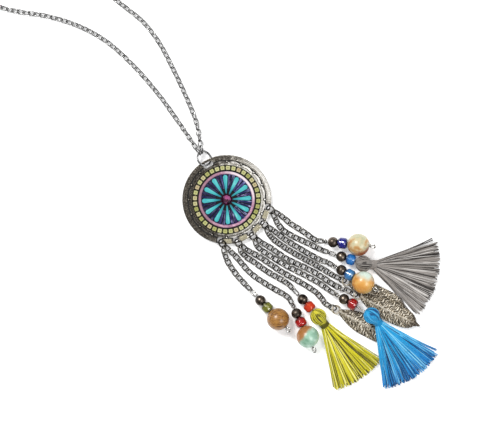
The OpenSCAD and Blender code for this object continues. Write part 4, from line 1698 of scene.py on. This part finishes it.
@dataclass
class Dressing:
    """The finishes of the CAD nodes that stay as they are.

    Attributes:
        pendant_r: The pendant's radius, in millimetres.
        fringe_bearing: Bearing of the middle ring hole, in degrees.
        hole_pitch: Degrees from one ring hole to the next.
        hole_count: Number of ring holes.
    """

    pendant_r: float = 16.0
    fringe_bearing: float = -55.0
    hole_pitch: float = 22.5
    hole_count: int = 5

    def dress(self, node: str, material: Material) -> None:
        """Gives a CAD node its finish.

        Args:
            node: The node's name.
            material: Its finish.
        """
        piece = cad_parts[node]
        for n in range(len(piece.material_slots)):
            piece.material_slots[n].material = material
        log.info("%s: dressed in %s", node, material.name)

    def bearings(self, count: int) -> tuple[float, ...]:
        """The bearings of a row of holes, or of the bars between them."""
        steps = ((count - 1) / 2 - k for k in range(count))
        return tuple(self.fringe_bearing + step * self.hole_pitch for step in steps)

    def pendant(self) -> None:
        """Dresses the cast plate, its enamels and its stone."""
        bars, holes = self.bearings(self.hole_count - 1), self.bearings(self.hole_count)
        turquoise = ((0.25, "1a7082"), (0.42, "349fa8"), (0.6, "4db7ba"), (0.78, "a0dcd6"))
        dark = ((0.0, "0a1038"), (0.35, "121c5c"), (0.6, "2a1248"), (0.85, "34346f"))
        pink = ((0.3, "94667f"), (0.45, "b98aa2"), (0.6, "cb9db3"), (0.75, "e8cdd8"))
        tiles = ((0.0, "a4a662"), (0.35, "bcbe7e"), (0.7, "cac996"), (0.95, "c4b08e"))
        for node, finish in {
            "pendant_plate": CastPlate("antique_plate", self.pendant_r, bars, holes),
            "enamel_field": Enamel("black_enamel", ((0.3, "030304"), (0.7, "0e0e12")), 0.15),
            "petals_turquoise": WidePetals("turquoise_enamel", turquoise, 0.5, 3.5),
            "petals_dark": NarrowPetals("dark_enamel", dark, 0.15, 3.5),
            # Its last two colours are a painted highlight on the upper right and a painted shade on
            # the left.
            "pink_ring": Enamel("pink_enamel", pink, 0.6, 0.0, "f4eaef", "8d6672"),
            "tile_ring": TileRow("tile_enamel", tiles, 0.5, 2.5),
            "centre_stone": CutStone("purple_crystal"),
        }.items():
            self.dress(node, finish.paint())

    def metals(self) -> None:
        """Dresses the rings, chains, wires and metal beads, each by the start of its name."""
        # A seventh number in a row is how dark the painted shade on the steep sides is.
        steel, ring, chain, wire, bead = (AntiqueMetal(*row).paint() for row in (
            ("steel_ring", "b2b2b2", "2a2a2b", 0.6, 0.4, 0.24, 0.75),
            ("antique_ring", "9b978f", "1a1715", 0.8, 0.5, 0.3, 0.95),
            ("antique_chain", "a9a6a0", "161412", 0.75, 0.43, 0.28, 0.95),
            ("pin_wire", "c9c7c2", "4a4844", 0.6, 0.36, 0.2, 0.7),
            ("gunmetal_bead", "7a6f64", "2a2420", 0.5, 0.45, 0.3),
        ))
        starts = {"top_ring": steel, "clasp": steel, "rim_ring_": ring, "leaf_ring_": ring,
                  "drop_chain_": chain, "pin_": wire, "metal_bead_": bead}
        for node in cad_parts:
            for start, material in starts.items():
                if node.startswith(start):
                    self.dress(node, material)

    def stones(self) -> None:
        """Dresses the four round stones."""
        stones = {
            1: ("cream_stone",
                ((0.3, "a5602e"), (0.42, "c29a62"), (0.5, "cfc29c"), (0.6, "b7b896"),
                 (0.74, "d8cfae")),
                "96502a", (0.45, -0.9, -0.1), 2.2, 1.2, 0.9, 0.27),
            3: ("ochre_stone", ((0.3, "c47f34"), (0.46, "d99c4a"), (0.6, "dfb465"), (0.74, "e8cb92")),
                "cfe0d2", (0.3, 0.8, 0.45), 2.9, 1.1, 0.5, 0.2),
            9: ("green_stone", ((0.3, "6f9c80"), (0.5, "9cc4ad"), (0.66, "c4dfd0")),
                "a8703a", (-0.8, 0.59, 0), 1.15, 0.7, 0.35, 0.3),
            10: ("brown_stone",
                 ((0.34, "5a3a18"), (0.44, "8a5c2a"), (0.54, "b07f3c"), (0.62, "8f6230"),
                  (0.72, "6d4722")),
                 "55351a", (0.5, -0.8, -0.3), 3.4, 0.8, 0.4, 2.0, 5.0, 28.0),
        }
        for number, (name, *rest) in stones.items():
            node = f"stone_{number}"
            self.dress(node, PolishedStone(name, node_centre(node), *rest).paint())

    def glass(self) -> None:
        """Dresses the seven glass beads."""
        beads = {
            1: ("cobalt_glass", "04063c", "0c0f86", "5a63d8"),
            2: ("azure_glass", "0d3f80", "2478c8", "a8d8f8"),
            3: ("pale_blue_glass", "1d4f88", "3d86c4", "bfe2f8"),
            6: ("red_glass", "3c0204", "a80a10", "d8453c"),
            8: ("orange_glass", "8c1404", "d8380f", "ff7a45"),
            9: ("red_glass", "480204", "b40c12", "d8453c"),
            10: ("olive_glass", "33340a", "74761a", "e8e6b0"),
        }
        for number, (name, *colours) in beads.items():
            centre = node_centre(f"glass_bead_{number}")
            way = centre - node_centre(f"metal_bead_{number}")
            bearing = math.degrees(math.atan2(way.y, way.x))
            self.dress(f"glass_bead_{number}", BeadGlass(name, centre, bearing, *colours).paint())


@dataclass
class Studio:
    """Floor, soft lights and the camera above the necklace.

    Attributes:
        centre: Middle of the photograph on the surface, in millimetres.
        view_w: Width of the photograph on the surface, in millimetres.
        distance: Distance of the camera, in millimetres.
        lean: How far the camera leans to the right of straight above, in degrees.
        sensor: Width of the camera's sensor, in millimetres.
        floor_side: Side of the floor, in metres.
        floor_drop: How far it lies below the necklace, in metres.
        sky: Strength of the pale surroundings.
    """

    centre: tuple[float, float] = (6.1, -8.06)
    view_w: float = 175.5
    distance: float = 650.0
    lean: float = 4.0
    sensor: float = 36.0
    floor_side: float = 6.0
    floor_drop: float = 0.0001
    sky: float = 0.3

    def floor(self) -> None:
        """Lays the pale surface a hair below the necklace."""
        nothing_selected()
        bpy.ops.mesh.primitive_plane_add(size=self.floor_side, location=(0, 0, -self.floor_drop))
        floor = bpy.context.object
        floor.name = "floor"
        bpy.ops.object.transform_apply(location=True)
        floor.data.materials.append(PaleFloor("pale_floor").paint())

    def lamp(self, name: str, place: tuple[float, float, float], side: float, power: float) -> None:
        """Hangs a square soft light that faces the necklace.

        Args:
            name: Its name.
            place: Where it hangs, in metres.
            side: Its side, in metres.
            power: Its power, in watts.
        """
        light = bpy.data.lights.new(name, "AREA")
        light.shape, light.size, light.energy = "SQUARE", side, power
        lamp = placed(name, light)
        lamp.location = place
        aim = Vector((*self.centre, 0)) * MM - Vector(place)
        lamp.rotation_euler = aim.to_track_quat("-Z", "Y").to_euler()

    def lights(self) -> None:
        """Hangs the lights and sets the pale surroundings."""
        self.lamp("key", (-0.40, 0.50, 0.95), 0.40, 11.0)
        self.lamp("fill", (0.65, -0.30, 0.80), 0.45, 5.0)
        world = bpy.data.worlds.new("surroundings")
        world.use_nodes = True
        background = world.node_tree.nodes["Background"].inputs
        background["Color"].default_value = (1.0, 1.0, 1.0, 1.0)
        background["Strength"].default_value = self.sky
        bpy.context.scene.world = world

    def camera(self) -> None:
        """Sets the camera at the photograph's angle."""
        data = bpy.data.cameras.new("camera")
        data.sensor_fit = "HORIZONTAL"
        data.sensor_width = self.sensor
        data.lens = self.sensor * self.distance / self.view_w
        data.clip_start = 0.01
        camera = placed("camera", data)
        lean = math.radians(self.lean)
        up = Vector((math.sin(lean), 0, math.cos(lean)))
        camera.location = (Vector((*self.centre, 0)) + up * self.distance) * MM
        camera.rotation_euler = (0, lean, 0)
        bpy.context.scene.camera = camera

    def build(self) -> None:
        """Sets up floor, lights and camera."""
        self.floor()
        self.lights()
        self.camera()
        bpy.context.scene.view_settings.view_transform = "Standard"


def main() -> None:
    """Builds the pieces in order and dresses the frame."""
    logging.basicConfig(level=logging.INFO, format="%(name)s %(message)s")
    Studio().build()
    dressing = Dressing()
    dressing.pendant()
    dressing.metals()
    dressing.stones()
    dressing.glass()
    # Its last number is how dark the painted shade on the chain's steep sides is.
    NeckChain().build(AntiqueMetal("steel_chain", "b4b4b2", "1c1b1b", 0.7, 0.42, 0.25, 0.9).paint())
    leaf_metal = LeafMetal("antique_leaf").paint()
    for leaf in (
        Leaf(4, -34.45, 0.719, -25.3),
        Leaf(5, -36.15, 0.843, -26.1, 1.2),
        Leaf(7, -45.1, 0.792, -28),
    ):
        leaf.build(leaf_metal)
    grey, blue, yellow = (
        ("dad6d2", "8f8984", "2f2a28", "948e89"), ("8fdcf6", "1b9fd9", "064a80", "156cb8"),
        ("f5f09a", "d4cb1c", "56510a", "c8c01e"),
    )
    for tassel in (
        Tassel(2, "grey_thread", -6, -15, 32, grey, loose=(1.3, 2.1, -0.9)),
        Tassel(6, "blue_thread", -48, -57, 26, blue, 0.38, 3.3, (0.9, 1.5)),
        Tassel(8, "yellow_thread", -54, -56.5, 21, yellow, loose=(0.8, -0.7)),
    ):
        tassel.build()


if __name__ == "__main__":
    main()
